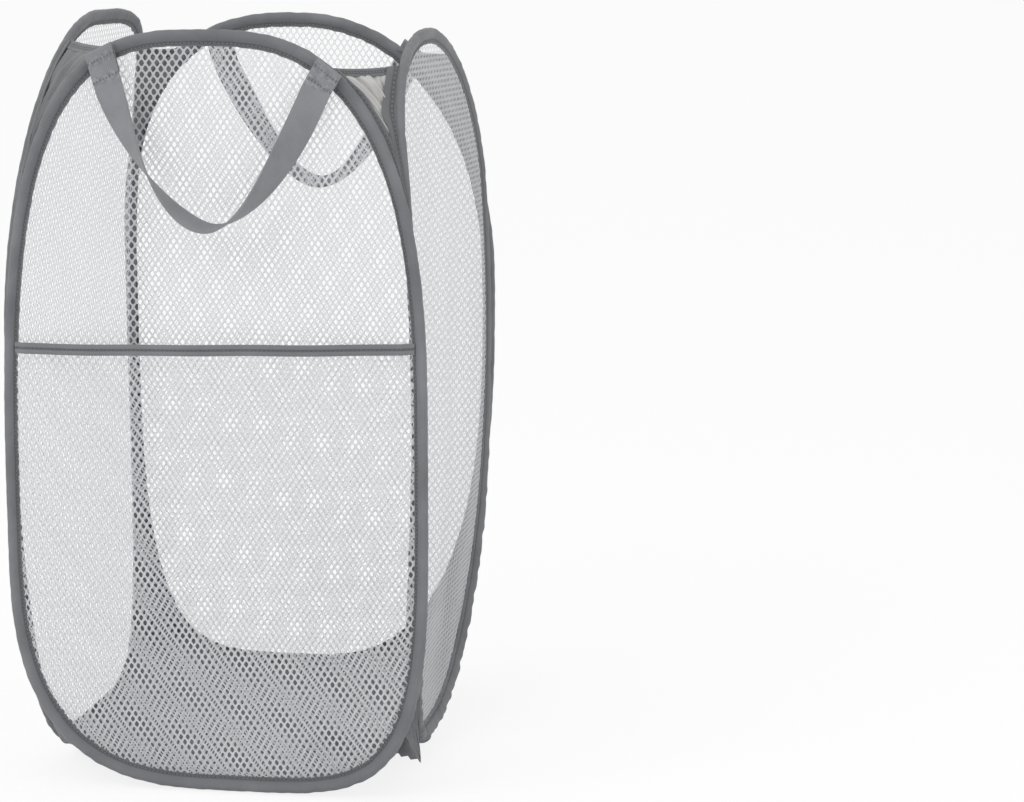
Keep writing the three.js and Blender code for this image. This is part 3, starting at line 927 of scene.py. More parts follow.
@dataclass
class Net:
    """A knitted mesh with staggered rounded diamonds, cut to a hoop's outline."""

    hoop: Hoop
    name: str = ""
    gap: tuple[float, float] = (0.325, 0.297)
    roundness: float = 0.62
    crown: float = 0.00045
    inset: float = 0.0012
    corners: int = 8
    joined: float = 1e-5
    spare: float = 0.35
    over: float = 0.012
    slack: float = 0.0012
    slack_run: float = 0.1

    def __post_init__(self) -> None:
        """Take the mesh's stretch and turn from the table."""
        lattice = LATTICES[self.name or self.hoop.name]
        self.pitch, self.pitch_rise, self.turn = lattice.pitch, lattice.pitch_rise, lattice.turn

    def cell(self) -> Piece:
        """Model one diamond of the mesh: its ridge of yarn and the edge of its gap.

        Returns:
            The cell, flat and centred on the origin.
        """
        deselect()
        bpy.ops.mesh.primitive_circle_add(vertices=self.corners, radius=1.0, fill_type="NOTHING")
        piece = bpy.context.object
        with editing(piece):
            bpy.ops.mesh.extrude_edges_move()
        points = points_of(piece)
        eighth = np.round(np.arctan2(points[:, 1], points[:, 0]) / (np.pi / 4)).astype(int)
        pointed = eighth % 2 == 0
        way = np.stack([np.cos(eighth * np.pi / 4), np.sin(eighth * np.pi / 4)], axis=1)
        way = np.sign(np.round(way, 6))
        share = np.where(pointed, 1.0, 0.5)
        outer = way * share[:, None] * np.array([self.pitch, self.pitch_rise]) / 2
        share = np.where(pointed, 1.0, self.roundness)
        reach = np.array([self.gap[0] * self.pitch, self.gap[1] * self.pitch_rise])
        inner = way * share[:, None] * reach
        first = np.arange(len(points)) < self.corners
        flat = np.where(first[:, None], outer, inner)
        move_points(piece, np.column_stack([flat, np.where(first, self.crown, 0.0)]))
        return piece

    def field(self, low: tuple[float, float], high: tuple[float, float]) -> Piece:
        """Repeat the cell over a rectangle.

        Args:
            low: Its lowest s and z.
            high: Its highest s and z.

        Returns:
            The flat field of mesh.
        """
        piece = self.cell()
        base = points_of(piece)
        choose(piece)
        bpy.ops.object.duplicate()
        other = bpy.context.object
        move_points(other, base + np.array([self.pitch / 2, self.pitch_rise / 2, 0]))
        piece.select_set(True)
        bpy.context.view_layer.objects.active = piece
        bpy.ops.object.join()
        piece.name = piece.data.name = f"{self.name or 'net'}_mesh_{self.hoop.name}"
        columns = int((high[0] - low[0]) / self.pitch) + 2
        rows = int((high[1] - low[1]) / self.pitch_rise) + 2
        for count, step in ((columns, (self.pitch, 0, 0)), (rows, (0, self.pitch_rise, 0))):
            array = piece.modifiers.new("repeat", "ARRAY")
            array.count = count
            array.use_relative_offset = False
            array.use_constant_offset = True
            array.constant_offset_displace = step
        finish_modifiers(piece)
        with editing(piece):
            bpy.ops.mesh.remove_doubles(threshold=self.joined)
        move_points(piece, points_of(piece) + np.array([low[0], low[1], 0]))
        return piece

    def tilt(self, piece: Piece) -> None:
        """Turn the mesh in its own plane, about the side's middle.

        Args:
            piece: The flat field of mesh.
        """
        points = points_of(piece) - np.array([0, RISE / 2, 0])
        across = points[:, 0] * math.cos(self.turn) - points[:, 1] * math.sin(self.turn)
        rise = points[:, 0] * math.sin(self.turn) + points[:, 1] * math.cos(self.turn)
        move_points(piece, np.column_stack([across, rise + RISE / 2, points[:, 2]]))

    def trim(self, piece: Piece) -> None:
        """Take away the faces whose centres the outline doesn't hold.

        Args:
            piece: The flat field of mesh.
        """
        mesh = piece.data
        centres = np.empty(len(mesh.polygons) * 3)
        mesh.polygons.foreach_get("center", centres)
        centres = centres.reshape(-1, 3)
        away = ~self.keep(centres[:, 0], centres[:, 1])
        choose(piece)
        bpy.ops.object.mode_set(mode="EDIT")
        bpy.ops.mesh.select_mode(type="FACE")
        bpy.ops.mesh.select_all(action="DESELECT")
        bpy.ops.object.mode_set(mode="OBJECT")
        mesh.polygons.foreach_set("select", away)
        bpy.ops.object.mode_set(mode="EDIT")
        bpy.ops.mesh.delete(type="FACE")
        bpy.ops.object.mode_set(mode="OBJECT")

    def keep(self, s: np.ndarray, z: np.ndarray) -> np.ndarray:
        """Which places belong to this net."""
        return self.hoop.holds(s, z, self.inset)

    def sag(self, s: np.ndarray, z: np.ndarray) -> np.ndarray:
        """How far the net stands off its side's plane.

        Args:
            s: Places along the side.
            z: Heights.

        Returns:
            Distances outwards.
        """
        drawn = np.clip(1 - np.abs(s) / self.hoop.half, 0, 1) * np.clip(z / self.slack_run, 0, 1)
        drawn = drawn * np.clip((RISE - z) / self.slack_run, 0, 1)
        seed = sum(map(ord, self.hoop.name))
        broad = ripple(z + 0.35 * s, seed, (0.23, 0.31))
        soft = broad + 0.5 * ripple(s - 0.2 * z, seed + 1, (0.11, 0.17))
        return -self.slack * drawn * (1 + soft)

    def build(self) -> Piece:
        """Cut the mesh to its outline, lay it on its side and sew it in.

        Returns:
            The net.
        """
        spare = self.spare * math.sin(abs(self.turn))
        low = (-self.hoop.half - self.pitch - spare, -spare)
        high = (self.hoop.half + self.pitch + spare, RISE + self.over + spare)
        piece = self.field(low, high)
        self.tilt(piece)
        self.trim(piece)
        flat = points_of(piece)
        area = area_of(piece)
        span = flat.max(axis=0) - flat.min(axis=0)
        places = self.hoop.at(flat[:, 0], flat[:, 1], self.sag(flat[:, 0], flat[:, 1]) + flat[:, 2])
        move_points(piece, places)
        if np.cross((*self.hoop.along, 0), (0, 0, 1)) @ (*self.hoop.out, 0) < 0:
            with editing(piece):
                bpy.ops.mesh.flip_normals()
        smooth(piece, 180)
        dress(piece, Finish.NET)
        self.sew(piece, float(span[0]), float(span[1]), area)
        return piece

    def sew(self, piece: Piece, width: float, height: float, area: float) -> None:
        """Join the net to the frame.

        Args:
            piece: The net.
            width: The flat net's width; not used.
            height: Its height; not used.
            area: The area of its yarn; not used.
        """
        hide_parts(f"net_{self.hoop.name}")
        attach(piece, self.hoop.name)


@dataclass
class PocketNet(Net):
    """The second layer of mesh on the front, below the pocket's tape."""

    name: str = "pocket"
    mouth: float = 0.3572
    mouth_slant: float = 0.007
    under_tape: float = 0.003
    standoff: float = 0.003
    bulge: float = 0.010
    flange: float = 0.0066
    least: float = 0.0003
    slope: float = 0.5

    def lip(self, s: np.ndarray) -> np.ndarray:
        """Height of the pocket's mouth, which is a little higher at its right end."""
        return self.mouth + self.mouth_slant * np.clip((s / self.hoop.half + 1) / 2, 0, 1)

    def keep(self, s: np.ndarray, z: np.ndarray) -> np.ndarray:
        """Which places belong to the pocket."""
        return self.hoop.holds(s, z, self.inset) & (z < self.lip(s) + self.under_tape)

    def sag(self, s: np.ndarray, z: np.ndarray) -> np.ndarray:
        """How far the pocket stands off the front net, most at its mouth.

        Args:
            s: Places along the side.
            z: Heights.

        Returns:
            Distances outwards.
        """
        across = np.clip(1 - (s / self.hoop.half) ** 2, 0, 1)
        rise = np.sin(np.pi / 2 * np.clip(z / self.mouth, 0, 1))
        soft = 0.0008 * across * ripple(z - 0.3 * s, 31, (0.19, 0.13))
        full = self.standoff + self.bulge * across * rise + soft
        room = self.least + self.slope * np.clip(self.hoop.within(s, z) - self.flange, 0, 1)
        return np.minimum(full, room)

    def sew(self, piece: Piece, width: float, height: float, area: float) -> None:
        """Join the pocket to the frame.

        Args:
            piece: The net.
            width: The flat net's width; not used.
            height: Its height; not used.
            area: The area of its yarn; not used.
        """
        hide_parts("pocket_net")
        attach(piece, "front")


@dataclass
class PocketTape:
    """The folded tape on the pocket's mouth, with a sewn groove along its middle."""

    pocket: PocketNet
    height: float = 0.0084
    thickness: float = 0.0012
    short: float = 0.0045
    relief: float = 0.0009
    sunk: float = 0.0002

    def build(self) -> Piece:
        """Lay the tape along the mouth.

        Returns:
            The tape.
        """
        hoop = self.pocket.hoop
        piece = unit_grid("pocket_mouth_tape", 150, 10)
        flat = points_of(piece)
        start = float(hoop.leg(0, self.pocket.mouth)) + self.short
        end = float(hoop.leg(1, self.pocket.mouth)) - self.short
        s = start + (end - start) * flat[:, 0]
        low = self.pocket.lip(s)
        z = low + self.height * flat[:, 1] + 0.0004 * ripple(s, 7, (0.09, 0.21))
        depth = np.maximum(self.pocket.sag(s, low), self.thickness)
        groove = np.abs(flat[:, 1] - 0.5) * 2
        relief = self.relief * np.sin(np.pi * np.clip(groove, 0, 1)) - self.sunk
        move_points(piece, hoop.at(s, z, depth + relief))
        set_uv(piece, np.stack([s - start, flat[:, 1] * self.height], axis=1))
        thicken(piece, self.thickness)
        smooth(piece, 60)
        dress(piece, Finish.POCKET_TAPE)
        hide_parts("pocket_tape")
        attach(piece, "front")
        return piece


# Cloth corners and floor

# How far out and how high the floor's cloth comes to a point at a corner, the height on the hoops
# that it starts from, and the least share of a folded sheet's rectangle that is cloth.
TIP_REACH = 0.164
TIP_RISE = 0.031
LOW_RISE = 0.038
LEAST_CLOTH = 0.31


@dataclass(frozen=True)
class Corner:
    """Where two hoops meet: a lies along the front or back, b along the left or right.

    The lows are the heights on a and b from which the floor's cloth is drawn to its tip, the lap
    is how far it then hangs below, and the rest says what is particular to the gusset above.
    """

    name: str
    a: Hoop
    a_end: int
    b: Hoop
    b_end: int
    out_share: float
    seed: int
    lows: tuple[float, float] = (LOW_RISE, LOW_RISE)
    lap: float = 0.005
    hem_rise: float = 0.579
    edge_widths: tuple[float, float] = (0.0062, 0.0062)
    finish: Finish = Finish.DEEP_GUSSET

    def spots(self, z: np.ndarray, z_b: np.ndarray | None = None) -> tuple[np.ndarray, np.ndarray]:
        """The two hoops' centre lines at heights z, or z_b for hoop b.

        Args:
            z: Heights on hoop a.
            z_b: Heights on hoop b, where they differ.

        Returns:
            Places on hoop a and places on hoop b.
        """
        z_b = z if z_b is None else z_b
        a = self.a.at(self.a.leg(self.a_end, z), z)
        b = self.b.at(self.b.leg(self.b_end, z_b), z_b)
        return a, b

    def parting(self, distance: float, limit: float) -> float:
        """The height nearest the limit where the hoops stand this far apart.

        Args:
            distance: How far apart.
            limit: The height to search from, towards the middle.

        Returns:
            The height.
        """
        heights = np.linspace(limit, RISE / 2, 400)
        a, b = self.spots(heights)
        close = np.linalg.norm(a - b, axis=1) <= distance
        return float(heights[np.argmax(close)] if close.any() else heights[-1])

    def outward(self) -> np.ndarray:
        """The way that the corner faces."""
        way = np.array([self.b.out[0], self.a.out[1], 0.0])
        return way / np.linalg.norm(way)

    def tip(self) -> np.ndarray:
        """Where the floor's cloth is folded to a point.

        Returns:
            The tip's place.
        """
        far = np.array([TIP_REACH * self.b.out[0], TIP_REACH * self.a.out[1], TIP_RISE])
        a, b = self.spots(np.array([LOW_RISE]))
        tucked = (a[0] + b[0]) / 2
        tucked[2] = TIP_RISE
        return mix(tucked, far, self.out_share)


CORNERS = (
    Corner("front_left", HOOPS["front"], 0, HOOPS["left"], 0, 0.0, 3, hem_rise=0.594,
           edge_widths=(0.0062, 0.0105), finish=Finish.SHADED_GUSSET),
    # The front right gusset's pale finish is painted light shining through its cloth.
    Corner("front_right", HOOPS["front"], 1, HOOPS["right"], 0, 1.0, 4, (0.060, 0.048), lap=0.0,
           edge_widths=(0.0062, 0.0130), finish=Finish.GUSSET),
    Corner("back_left", HOOPS["back"], 0, HOOPS["left"], 1, 0.3, 5),
    Corner("back_right", HOOPS["back"], 1, HOOPS["right"], 1, 0.35, 6),
)


def soften(piece: Piece) -> None:
    """Hang a soft piece on the front's body, with a mesh of its own."""
    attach(piece, "front")
    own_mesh(piece)


@dataclass
class Gusset:
    """Thin gathered cloth between the shoulders of two hoops, with its hem and bound edges."""

    corner: Corner
    hem_height: float = 0.005
    hem_thickness: float = 0.0013
    start: float = 0.017
    edge_start: float = 0.0125
    edge_off: float = 0.0036
    edge_least: float = 0.0012
    edge_thickness: float = 0.0011
    under_hem: float = 0.0012
    over_cloth: float = 0.0004
    past_hem: float = 0.0006
    thickness: float = 0.0004
    pleat: float = 0.0026
    open_width: float = 0.045
    dip: float = 0.0015
    tuck: float = 0.0042
    fullness: float = 1.12

    @property
    def rise(self) -> float:
        """Height of the hem's lower edge."""
        return self.corner.hem_rise

    def edges(self, z: np.ndarray) -> tuple[np.ndarray, np.ndarray]:
        """The cloth's two edges, just off the bindings.

        Args:
            z: Heights.

        Returns:
            Places on the edge by hoop a and on the one by hoop b.
        """
        a, b = self.corner.spots(z)
        way = toward(a, b)
        return a + way * self.tuck, b - way * self.tuck

    def sheet(self) -> Piece:
        """Gather the cloth between its edges.

        Returns:
            The cloth.
        """
        low = self.corner.parting(self.start, self.rise)
        piece = unit_grid(f"gusset_cloth_{self.corner.name}", 64, 110)
        flat = points_of(piece)
        u, v = flat[:, 0], flat[:, 1]
        z = low + (self.rise + self.under_hem - low) * v
        a, b = self.edges(z)
        place = mix(a, b, u[:, None])
        # The gathers fan out from a point below the cloth, past its edge on hoop b.
        fan = np.arctan2(v + 0.15, 1.3 - u)
        rng = np.random.default_rng(self.corner.seed)
        swing = 1.5 * np.sin(5 * u + rng.uniform(0, 6))
        folds = np.sin(34 * fan + swing) + 0.55 * np.sin(61 * fan + 9 * u + 1)
        width = np.linalg.norm(b - a, axis=1)
        room = np.clip(width / self.open_width, 0.15, 1) * np.sin(np.pi * np.clip(u, 0, 1)) ** 0.6
        room = room * np.clip((1.02 - v) / 0.1, 0.15, 1)
        place = place + self.corner.outward() * (self.pleat * folds * room)[:, None]
        place[:, 2] -= self.dip * 4 * u * (1 - u) * v**3
        move_points(piece, place)
        set_uv(piece, np.stack([u * 0.06, z], axis=1))
        thicken(piece, self.thickness)
        smooth(piece, 180)
        dress(piece, self.corner.finish)
        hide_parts(f"gusset_{self.corner.name}")
        return piece

    def hem(self) -> Piece:
        """Fold the tape over the cloth's top edge.

        Returns:
            The hem.
        """
        piece = unit_grid(f"gusset_hem_{self.corner.name}", 40, 8)
        flat = points_of(piece)
        u, v = flat[:, 0], flat[:, 1]
        z = self.rise + (self.hem_height + self.past_hem) * v - self.over_cloth
        a, b = self.edges(z)
        place = mix(a, b, u[:, None])
        place[:, 2] -= self.dip * 4 * u * (1 - u)
        uneven = ripple(u * 0.07, self.corner.seed, (0.021, 0.013))
        puff = 0.0006 * np.sin(np.pi * v) + 0.0005 * uneven
        place += self.corner.outward() * puff[:, None]
        move_points(piece, place)
        set_uv(piece, np.stack([u * 0.07, v * self.hem_height], axis=1))
        thicken(piece, self.hem_thickness)
        smooth(piece, 60)
        dress(piece, Finish.HEM)
        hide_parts(f"hem_{self.corner.name}")
        return piece

    def bound_edge(self, first: bool) -> Piece:
        """The narrow tape that binds one side of the cloth beside the hoop's own binding.

        Args:
            first: Whether it is the edge on the front or back hoop.

        Returns:
            The tape.
        """
        mark = "a" if first else "b"
        low = self.corner.parting(self.edge_start, self.rise)
        piece = unit_grid(f"gusset_edge_{self.corner.name}_{mark}", 120, 8)
        flat = points_of(piece)
        z = low + (self.rise + self.hem_height - low) * flat[:, 0]
        a, b = self.corner.spots(z)
        here, there = (a, b) if first else (b, a)
        span = np.linalg.norm(there - here, axis=1, keepdims=True)
        way = (there - here) / span
        room = np.maximum(0.5 * (span[:, 0] - 0.007), self.edge_least)
        width = np.minimum(self.corner.edge_widths[0 if first else 1], room)
        wave = ripple(z, self.corner.seed + (0 if first else 20), (0.019, 0.031, 0.047))
        reach = self.edge_off + width * flat[:, 1] * (1 + 0.12 * wave)
        lift = 0.0016 + 0.0012 * np.sin(np.pi * flat[:, 1]) + 0.0007 * flat[:, 1] * wave
        place = here + way * reach[:, None] + self.corner.outward() * lift[:, None]
        move_points(piece, place)
        set_uv(piece, np.stack([z, flat[:, 1] * 0.006], axis=1))
        thicken(piece, self.edge_thickness)
        smooth(piece, 60)
        dress(piece, Finish.HEM)
        return piece

    def build(self) -> None:
        """Make the gusset's four pieces."""
        sheet, hem = self.sheet(), self.hem()
        tapes = [self.bound_edge(True), self.bound_edge(False)]
        for piece in (sheet, hem, *tapes):
            soften(piece)
        low = self.corner.parting(self.start, self.rise)
        a, b = self.edges(np.array([self.rise]))
        width = float(np.linalg.norm(b - a)) * self.fullness
        height = self.rise - low
        a, b = self.edges(np.linspace(low, self.rise, 40))
        area = float(np.linalg.norm(b - a, axis=1).mean() * self.fullness * height)
        area = max(area, LEAST_CLOTH * width * height)


@dataclass
class FoldedCorner:
    """The floor's cloth drawn up between two hoops and folded to a point."""

    corner: Corner
    bottom: float = LOW_RISE
    start: float = 0.0150
    off: float = 0.0038
    thickness: float = 0.0007

    def build(self) -> Piece:
        """Fold the cloth and sew it between the hoops.

        Returns:
            The corner's cloth.
        """
        corner = self.corner
        high = corner.parting(self.start, self.bottom)
        piece = unit_grid(f"corner_cloth_{corner.name}", 28, 60)
        flat = points_of(piece)
        u, v = flat[:, 0], flat[:, 1]
        z = high + (self.bottom - high) * v
        a, b = corner.spots(*(high + (low - high) * v for low in corner.lows))
        fold = mix((a + b) / 2, corner.tip(), (v**1.4)[:, None])
        left = a + toward(a, fold) * self.off
        right = b + toward(b, fold) * self.off
        t = 2 * u
        place = np.where((t <= 1)[:, None], mix(left, fold, np.clip(t, 0, 1)[:, None]),
                         mix(fold, right, np.clip(t - 1, 0, 1)[:, None]))
        loose = np.sin(np.pi * u) * np.clip(np.linalg.norm(b - a, axis=1) / 0.05, 0.1, 1)
        crumple = ripple(z * 1.4 + 0.02 * u, corner.seed + 40, (0.013, 0.021))
        crumple = crumple + 0.6 * np.sin(9 * u + 60 * z)
        place += corner.outward() * (0.0013 * loose * crumple)[:, None]
        place[:, 2] -= corner.lap * v**8
        move_points(piece, place)
        set_uv(piece, np.stack([u * 0.05, z], axis=1))
        thicken(piece, self.thickness, even=False)
        smooth(piece, 70)
        dress(piece, Finish.BINDING)
        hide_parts(f"floor_corner_{corner.name}")
        soften(piece)
        a, b = corner.spots(np.array([self.bottom]))
        width = float(np.linalg.norm(a - corner.tip()) + np.linalg.norm(b - corner.tip()))
        return piece


@dataclass
class Floor:
    """The cloth floor: flat where it rests, drawn up at its rim into the bindings."""

    corner_share: float = 0.14
    flat_share: float = 0.80
    rest_half: float = 0.134
    rest_least: float = 0.42
    inwards: float = 0.8
    off: float = 0.0035
    side: float = 0.345
    thickness: float = 0.0008

    def rim(self, side: int, t: np.ndarray) -> np.ndarray:
        """The rim along one side.

        Args:
            side: 0 front, 1 right, 2 back, 3 left, going round.
            t: Places from -1 to 1 along the side, going round.

        Returns:
            Places on the rim.
        """
        hoop = HOOPS[("front", "right", "back", "left")[side]]
        forwards = side in (0, 1)
        around = ("front_left", "front_right", "back_right", "back_left")
        corners = (around[side], around[(side + 1) % 4])
        tips = [next(c for c in CORNERS if c.name == name).tip() for name in corners]
        lows = {c.a_end: c.lows[0] for c in CORNERS if c.a is hoop}
        lows.update({c.b_end: c.lows[1] for c in CORNERS if c.b is hoop})
        ends = [float(hoop.across(end, False, lows[end])) for end in (0, 1)]
        start, stop = ends if forwards else ends[::-1]
        inner = 1 - self.corner_share
        share = np.clip((t / inner + 1) / 2, 0, 1)
        s = start + (stop - start) * share
        z = hoop.below(s)
        spot = hoop.at(s, z)
        aim = spot * np.array([self.inwards, self.inwards, 0.0])
        spot = spot + toward(spot, aim) * self.off
        for sign, tip in ((-1, tips[0]), (1, tips[1])):
            past = np.clip((sign * t - inner) / self.corner_share, 0, 1)
            spot = mix(spot, tip, past[:, None])
        return spot

    def build(self) -> Piece:
        """Shape the floor from its rim and the flat that it rests on.

        Returns:
            The floor.
        """
        piece = unit_grid("floor_cloth", 120, 120)
        flat = points_of(piece)
        x, y = 2 * flat[:, 0] - 1, 2 * flat[:, 1] - 1
        r = np.maximum(np.maximum(np.abs(x), np.abs(y)), TINY)
        rim = np.zeros_like(flat)
        for side, (facing, t) in enumerate(((-y, x / r), (x, y / r), (y, -x / r), (-x, -y / r))):
            chosen = facing >= r - TINY
            rim[chosen] = self.rim(side, t[chosen])
        run = 0.012 + 3 * rim[:, 2]
        tucked = np.clip((np.minimum(x / r, -y / r) - 0.55) / 0.45, 0, 1)
        share = np.maximum(self.rest_least, 1 - run / np.hypot(rim[:, 0], rim[:, 1]))
        share = share * (1 - 0.45 * tucked)
        rest = np.clip(rim[:, :2] * share[:, None], -self.rest_half, self.rest_half)
        rest = np.column_stack([rest, np.zeros_like(x)])
        inner = np.clip(r / self.flat_share, 0, 1)
        outer = np.clip((r - self.flat_share) / (1 - self.flat_share), 0, 1)
        ground = rest * inner[:, None]
        place = mix(ground, rim, outer[:, None])
        place[:, 2] = rim[:, 2] * mix(0.6 * outer + 0.4 * outer**2, outer**0.45, tucked)
        way = np.arctan2(y, x)
        crumple = ripple(way * 0.16, 61, (0.021, 0.034, 0.013)) * outer * (1 - outer) * 4
        slanted = ripple(place[:, 0] + 0.4 * place[:, 1], 62, (0.11, 0.17))
        broad = 1 + slanted * ripple(place[:, 1], 63, (0.14,))
        soft = 0.0006 * broad * (1 - outer) * (1 - inner**4)
        place[:, 2] += np.abs(crumple) * 0.0025 + soft + self.thickness / 2
        move_points(piece, place)
        set_uv(piece, place[:, :2])
        thicken(piece, self.thickness)
        smooth(piece, 70)
        dress(piece, Finish.FLOOR)
        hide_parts("floor")
        soften(piece)
        return piece


# Handles


@dataclass
class Handle:
    """A webbing strap: folded and sewn over the binding at both ends, on edge at its lowest."""

    hoop: Hoop
    body: str
    half: float = 0.082
    centre: float = 0.007
    hinge: float = 0.568
    drop: float = 0.106
    curve: float = 1.85
    twist: float = 1.7
    twist_centre: float = -0.016
    most_turn: float = 1.83
    width: float = 0.0228
    thickness: float = 0.0015
    hang: float = 0.0087
    lift: float = 0.003
    front_layer: float = 0.0086
    back_layer: float = 0.0057
    reach: tuple[float, float] = (0.0315, 0.0200)
    lean: tuple[tuple[float, float], tuple[float, float]] = ((-0.26, 0.966), (0.50, 0.866))
    slant: tuple[float, float] = (0.20, 0.13)
    fold_angle: float = 0.35
    down_to: float = 0.009
    twist_in: int = 6
    steps: int = 121
    bend_depth: float = 0.1767
    bend: tuple[float, float] = (0.580, 0.567)

    def path(self) -> tuple[np.ndarray, np.ndarray, int]:
        """The strap's centre line and the way across it.

        Returns:
            Rows of (s, z, d) along the strap, rows of its width's direction, in the same terms,
            and the row where the hanging part starts.
        """
        share = np.linspace(0, 1, self.steps)
        across = self.half * np.sin(np.pi * (share - 0.5))
        part = np.abs(across / self.half)
        s = self.centre + across
        z = self.hinge - self.drop * (1 - part**self.curve)
        run = np.stack([np.gradient(s), np.gradient(z)], axis=1)
        run /= np.linalg.norm(run, axis=1, keepdims=True)
        off = across - self.twist_centre
        side = np.where(off < 0, self.half + self.twist_centre, self.half - self.twist_centre)
        turn = self.most_turn * (1 - np.abs(off / side) ** self.twist)
        d = self.hang + (self.width / 2 + self.lift) * np.sin(turn)
        middle = np.stack([s, z, d], axis=1)
        wide = np.stack([-run[:, 1] * np.cos(turn), run[:, 0] * np.cos(turn), np.sin(turn)], axis=1)
        first, first_wide = self.end(0, middle[0], wide[0])
        last, last_wide = self.end(1, middle[-1], wide[-1])
        centre = np.vstack([first[::-1], middle, last])
        return centre, np.vstack([first_wide[::-1], wide, last_wide]), len(first)

    def end(self, side: int, start: np.ndarray, wide: np.ndarray) -> tuple[np.ndarray, np.ndarray]:
        """One end, from just above the hinge line, up, over its fold and down behind.

        Args:
            side: 0 left, 1 right.
            start: The strap's place on the hinge line.
            wide: The way across the strap there.

        Returns:
            Rows of places and of the way across, as in path.
        """
        lean = np.array(self.lean[side])
        flat = np.array([lean[1], -lean[0]]) * (1 if side == 0 else -1)
        flat = flat + lean * self.slant[side]
        radius = (self.front_layer - self.back_layer) / 2
        top = self.reach[side] - radius
        up = [(along, self.front_layer) for along in np.linspace(0.0012, top, 22)]
        over = [(top + radius * math.sin(t), self.front_layer - radius * (1 - math.cos(t)))
                for t in np.linspace(self.fold_angle, math.pi - self.fold_angle, 7)]
        down = [(along, self.back_layer) for along in np.linspace(top, self.down_to, 14)]
        rows, ways = [], []
        for index, (along, depth) in enumerate(up + over + down):
            share = min(1.0, index / self.twist_in)
            ways.append(mix(wide, np.array([flat[0], flat[1], 0.0]), share))
            rows.append((start[0] + lean[0] * along, start[1] + lean[1] * along, depth))
        return np.array(rows), np.array(ways)

    def build(self) -> Piece:
        """Weave the strap along its path.

        Returns:
            The strap.
        """
        centre, wide, start = self.path()
        count = len(centre)
        piece = unit_grid(f"strap_{self.hoop.name}", count - 1, 10)
        flat = points_of(piece)
        index = np.round(flat[:, 0] * (count - 1)).astype(int)
        v = flat[:, 1] * 2 - 1
        spots = centre[index] + wide[index] * (v * self.width / 2)[:, None]
        move_points(piece, self.hoop.at(spots[:, 0], spots[:, 1], spots[:, 2]))
        steps = np.linalg.norm(np.diff(centre, axis=0), axis=1)
        length = np.concatenate([[0], np.cumsum(steps)])
        length -= length[start]
        set_uv(piece, np.stack([length[index], v * self.width / 2], axis=1))
        thicken(piece, self.thickness)
        smooth(piece, 50)
        dress(piece, Finish.WEBBING)
        name = self.hoop.name
        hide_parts(f"handle_{name}", f"handle_end_{name}_left", f"handle_end_{name}_right")
        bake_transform(piece)
        return piece


# Stage


@dataclass(frozen=True)
class Lamp:
    """A square lamp turned towards the hamper."""

    name: str
    place: tuple[float, float, float]
    size: float
    power: float
    aim: tuple[float, float, float] = (0, 0, 0.3)

    def build(self) -> None:
        """Hang the lamp."""
        data = bpy.data.lights.new(self.name, "AREA")
        data.size = self.size
        data.energy = self.power
        lamp = bpy.data.objects.new(self.name, data)
        bpy.context.scene.collection.objects.link(lamp)
        lamp.location = self.place
        way = Vector(self.aim) - Vector(self.place)
        lamp.rotation_euler = way.to_track_quat("-Z", "Y").to_euler()


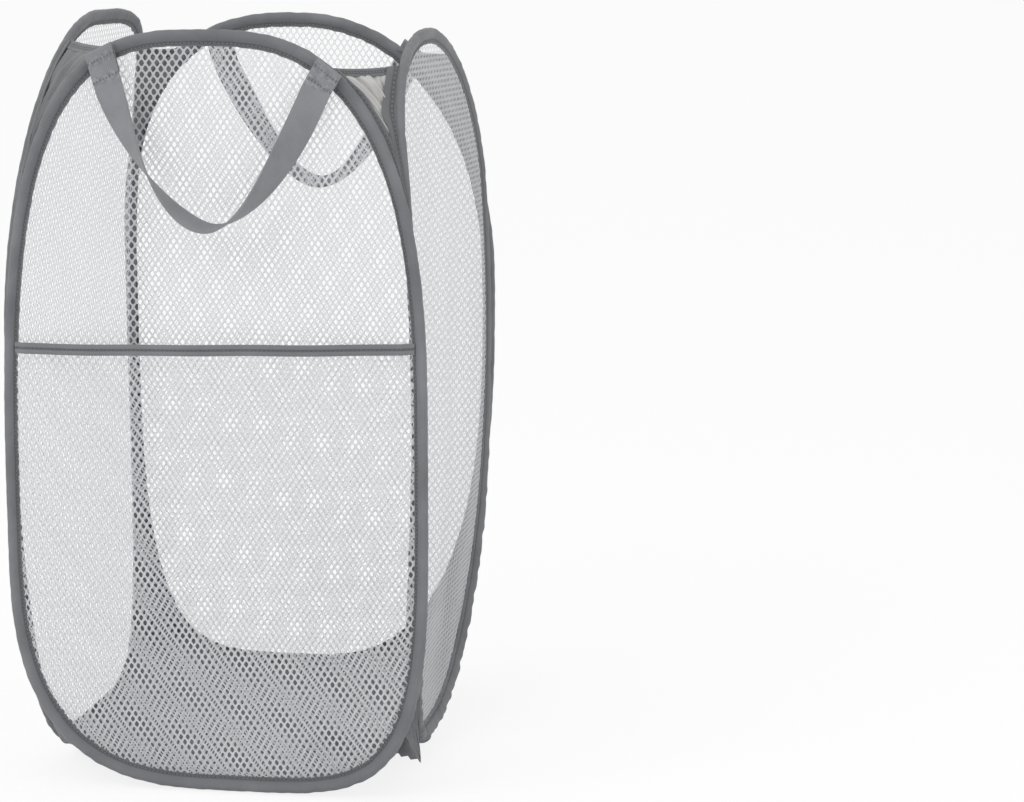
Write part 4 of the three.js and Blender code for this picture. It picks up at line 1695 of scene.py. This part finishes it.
@dataclass(frozen=True)
class Studio:
    """The pale floor, the soft light and the camera."""

    eye: tuple[float, float, float] = (0.533, -2.103, 0.689)
    yaw: float = 8.63
    pitch: float = -10.42
    lens: float = 90.1
    sensor: float = 36
    ground: float = 120
    ground_drop: float = 0.0005
    ground_glow: float = 0.84
    room_light: float = 0.82
    lamps: tuple[Lamp, ...] = (
        Lamp("key", (-1.6, -1.9, 2.6), 1.6, 30),
        Lamp("fill", (2.2, -1.2, 1.6), 1.8, 10),
    )

    def build(self) -> None:
        """Place the camera, the lights and the floor."""
        scene = bpy.context.scene
        data = bpy.data.cameras.new("camera")
        data.lens = self.lens
        data.sensor_width = self.sensor
        camera = bpy.data.objects.new("camera", data)
        scene.collection.objects.link(camera)
        camera.location = self.eye
        camera.rotation_euler = (math.radians(90 + self.pitch), 0, math.radians(self.yaw))
        scene.camera = camera
        self.floor()
        self.lights()
        scene.view_settings.view_transform = "Standard"

    def floor(self) -> None:
        """Lay the pale floor."""
        deselect()
        bpy.ops.mesh.primitive_plane_add(size=self.ground, location=(0, 0, -self.ground_drop))
        floor = bpy.context.object
        floor.name = "studio_floor"
        g = Graph("studio floor")
        where = g.add("TexCoord").outputs["Object"]
        grain = g.noise(where, 3, 2)
        colour = g.blend(grain, (0.93, 0.93, 0.93), (0.95, 0.95, 0.95))
        shader = g.add("BsdfDiffuse", {"Color": colour})
        glow = g.add("Emission", {"Color": (1, 1, 1, 1), "Strength": 1.0})
        seen = g.add("LightPath")
        veil = g.math("MULTIPLY", seen.outputs["Is Camera Ray"], self.ground_glow)
        both = g.add("MixShader", {0: veil, 1: shader.outputs[0], 2: glow.outputs[0]})
        g.add("OutputMaterial", {"Surface": both.outputs[0]})
        floor.data.materials.append(g.material)

    def lights(self) -> None:
        """Hang two soft lamps in a bright even room."""
        world = bpy.data.worlds.new("room")
        bpy.context.scene.world = world
        world.use_nodes = True
        background = world.node_tree.nodes["Background"]
        background.inputs[0].default_value = (1.0, 1.0, 1.0, 1)
        background.inputs[1].default_value = self.room_light
        for lamp in self.lamps:
            lamp.build()


# The hamper


@dataclass
class Hamper:
    """The whole hamper, in the order that it is sewn."""

    studio: Studio = field(default_factory=Studio)

    def dress_metal(self) -> None:
        """Give the wires and ferrules inside the bindings their metal."""
        for name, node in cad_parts.items():
            choice = Finish.WIRE if name.startswith("wire_") else Finish.FERRULE
            if name.startswith(("wire_", "ferrule_")):
                target = node if isinstance(node, Piece) else bpy.data.objects[name]
                for slot in target.material_slots:
                    slot.material = finish_of(choice)
                log.info("%s: %s", name, choice.name.lower())

    def build(self) -> None:
        """Build the studio and every piece."""
        self.studio.build()
        self.dress_metal()
        for index, hoop in enumerate(HOOPS.values()):
            Binding(hoop, index * 100 + 11, SWELLS.get(hoop.name, Swell())).build()
            Net(hoop).build()
        pocket = PocketNet(HOOPS["front"])
        pocket.build()
        PocketTape(pocket).build()
        Floor().build()
        for corner in CORNERS:
            Gusset(corner).build()
            FoldedCorner(corner).build()
        Handle(HOOPS["front"], "handle_front").build()
        Handle(HOOPS["back"], "handle_back", twist=2.2, most_turn=1.25).build()


def main() -> None:
    """Build the hamper."""
    logging.basicConfig(level=logging.INFO, format="%(message)s")
    Hamper().build()


if __name__ == "__main__":
    main()
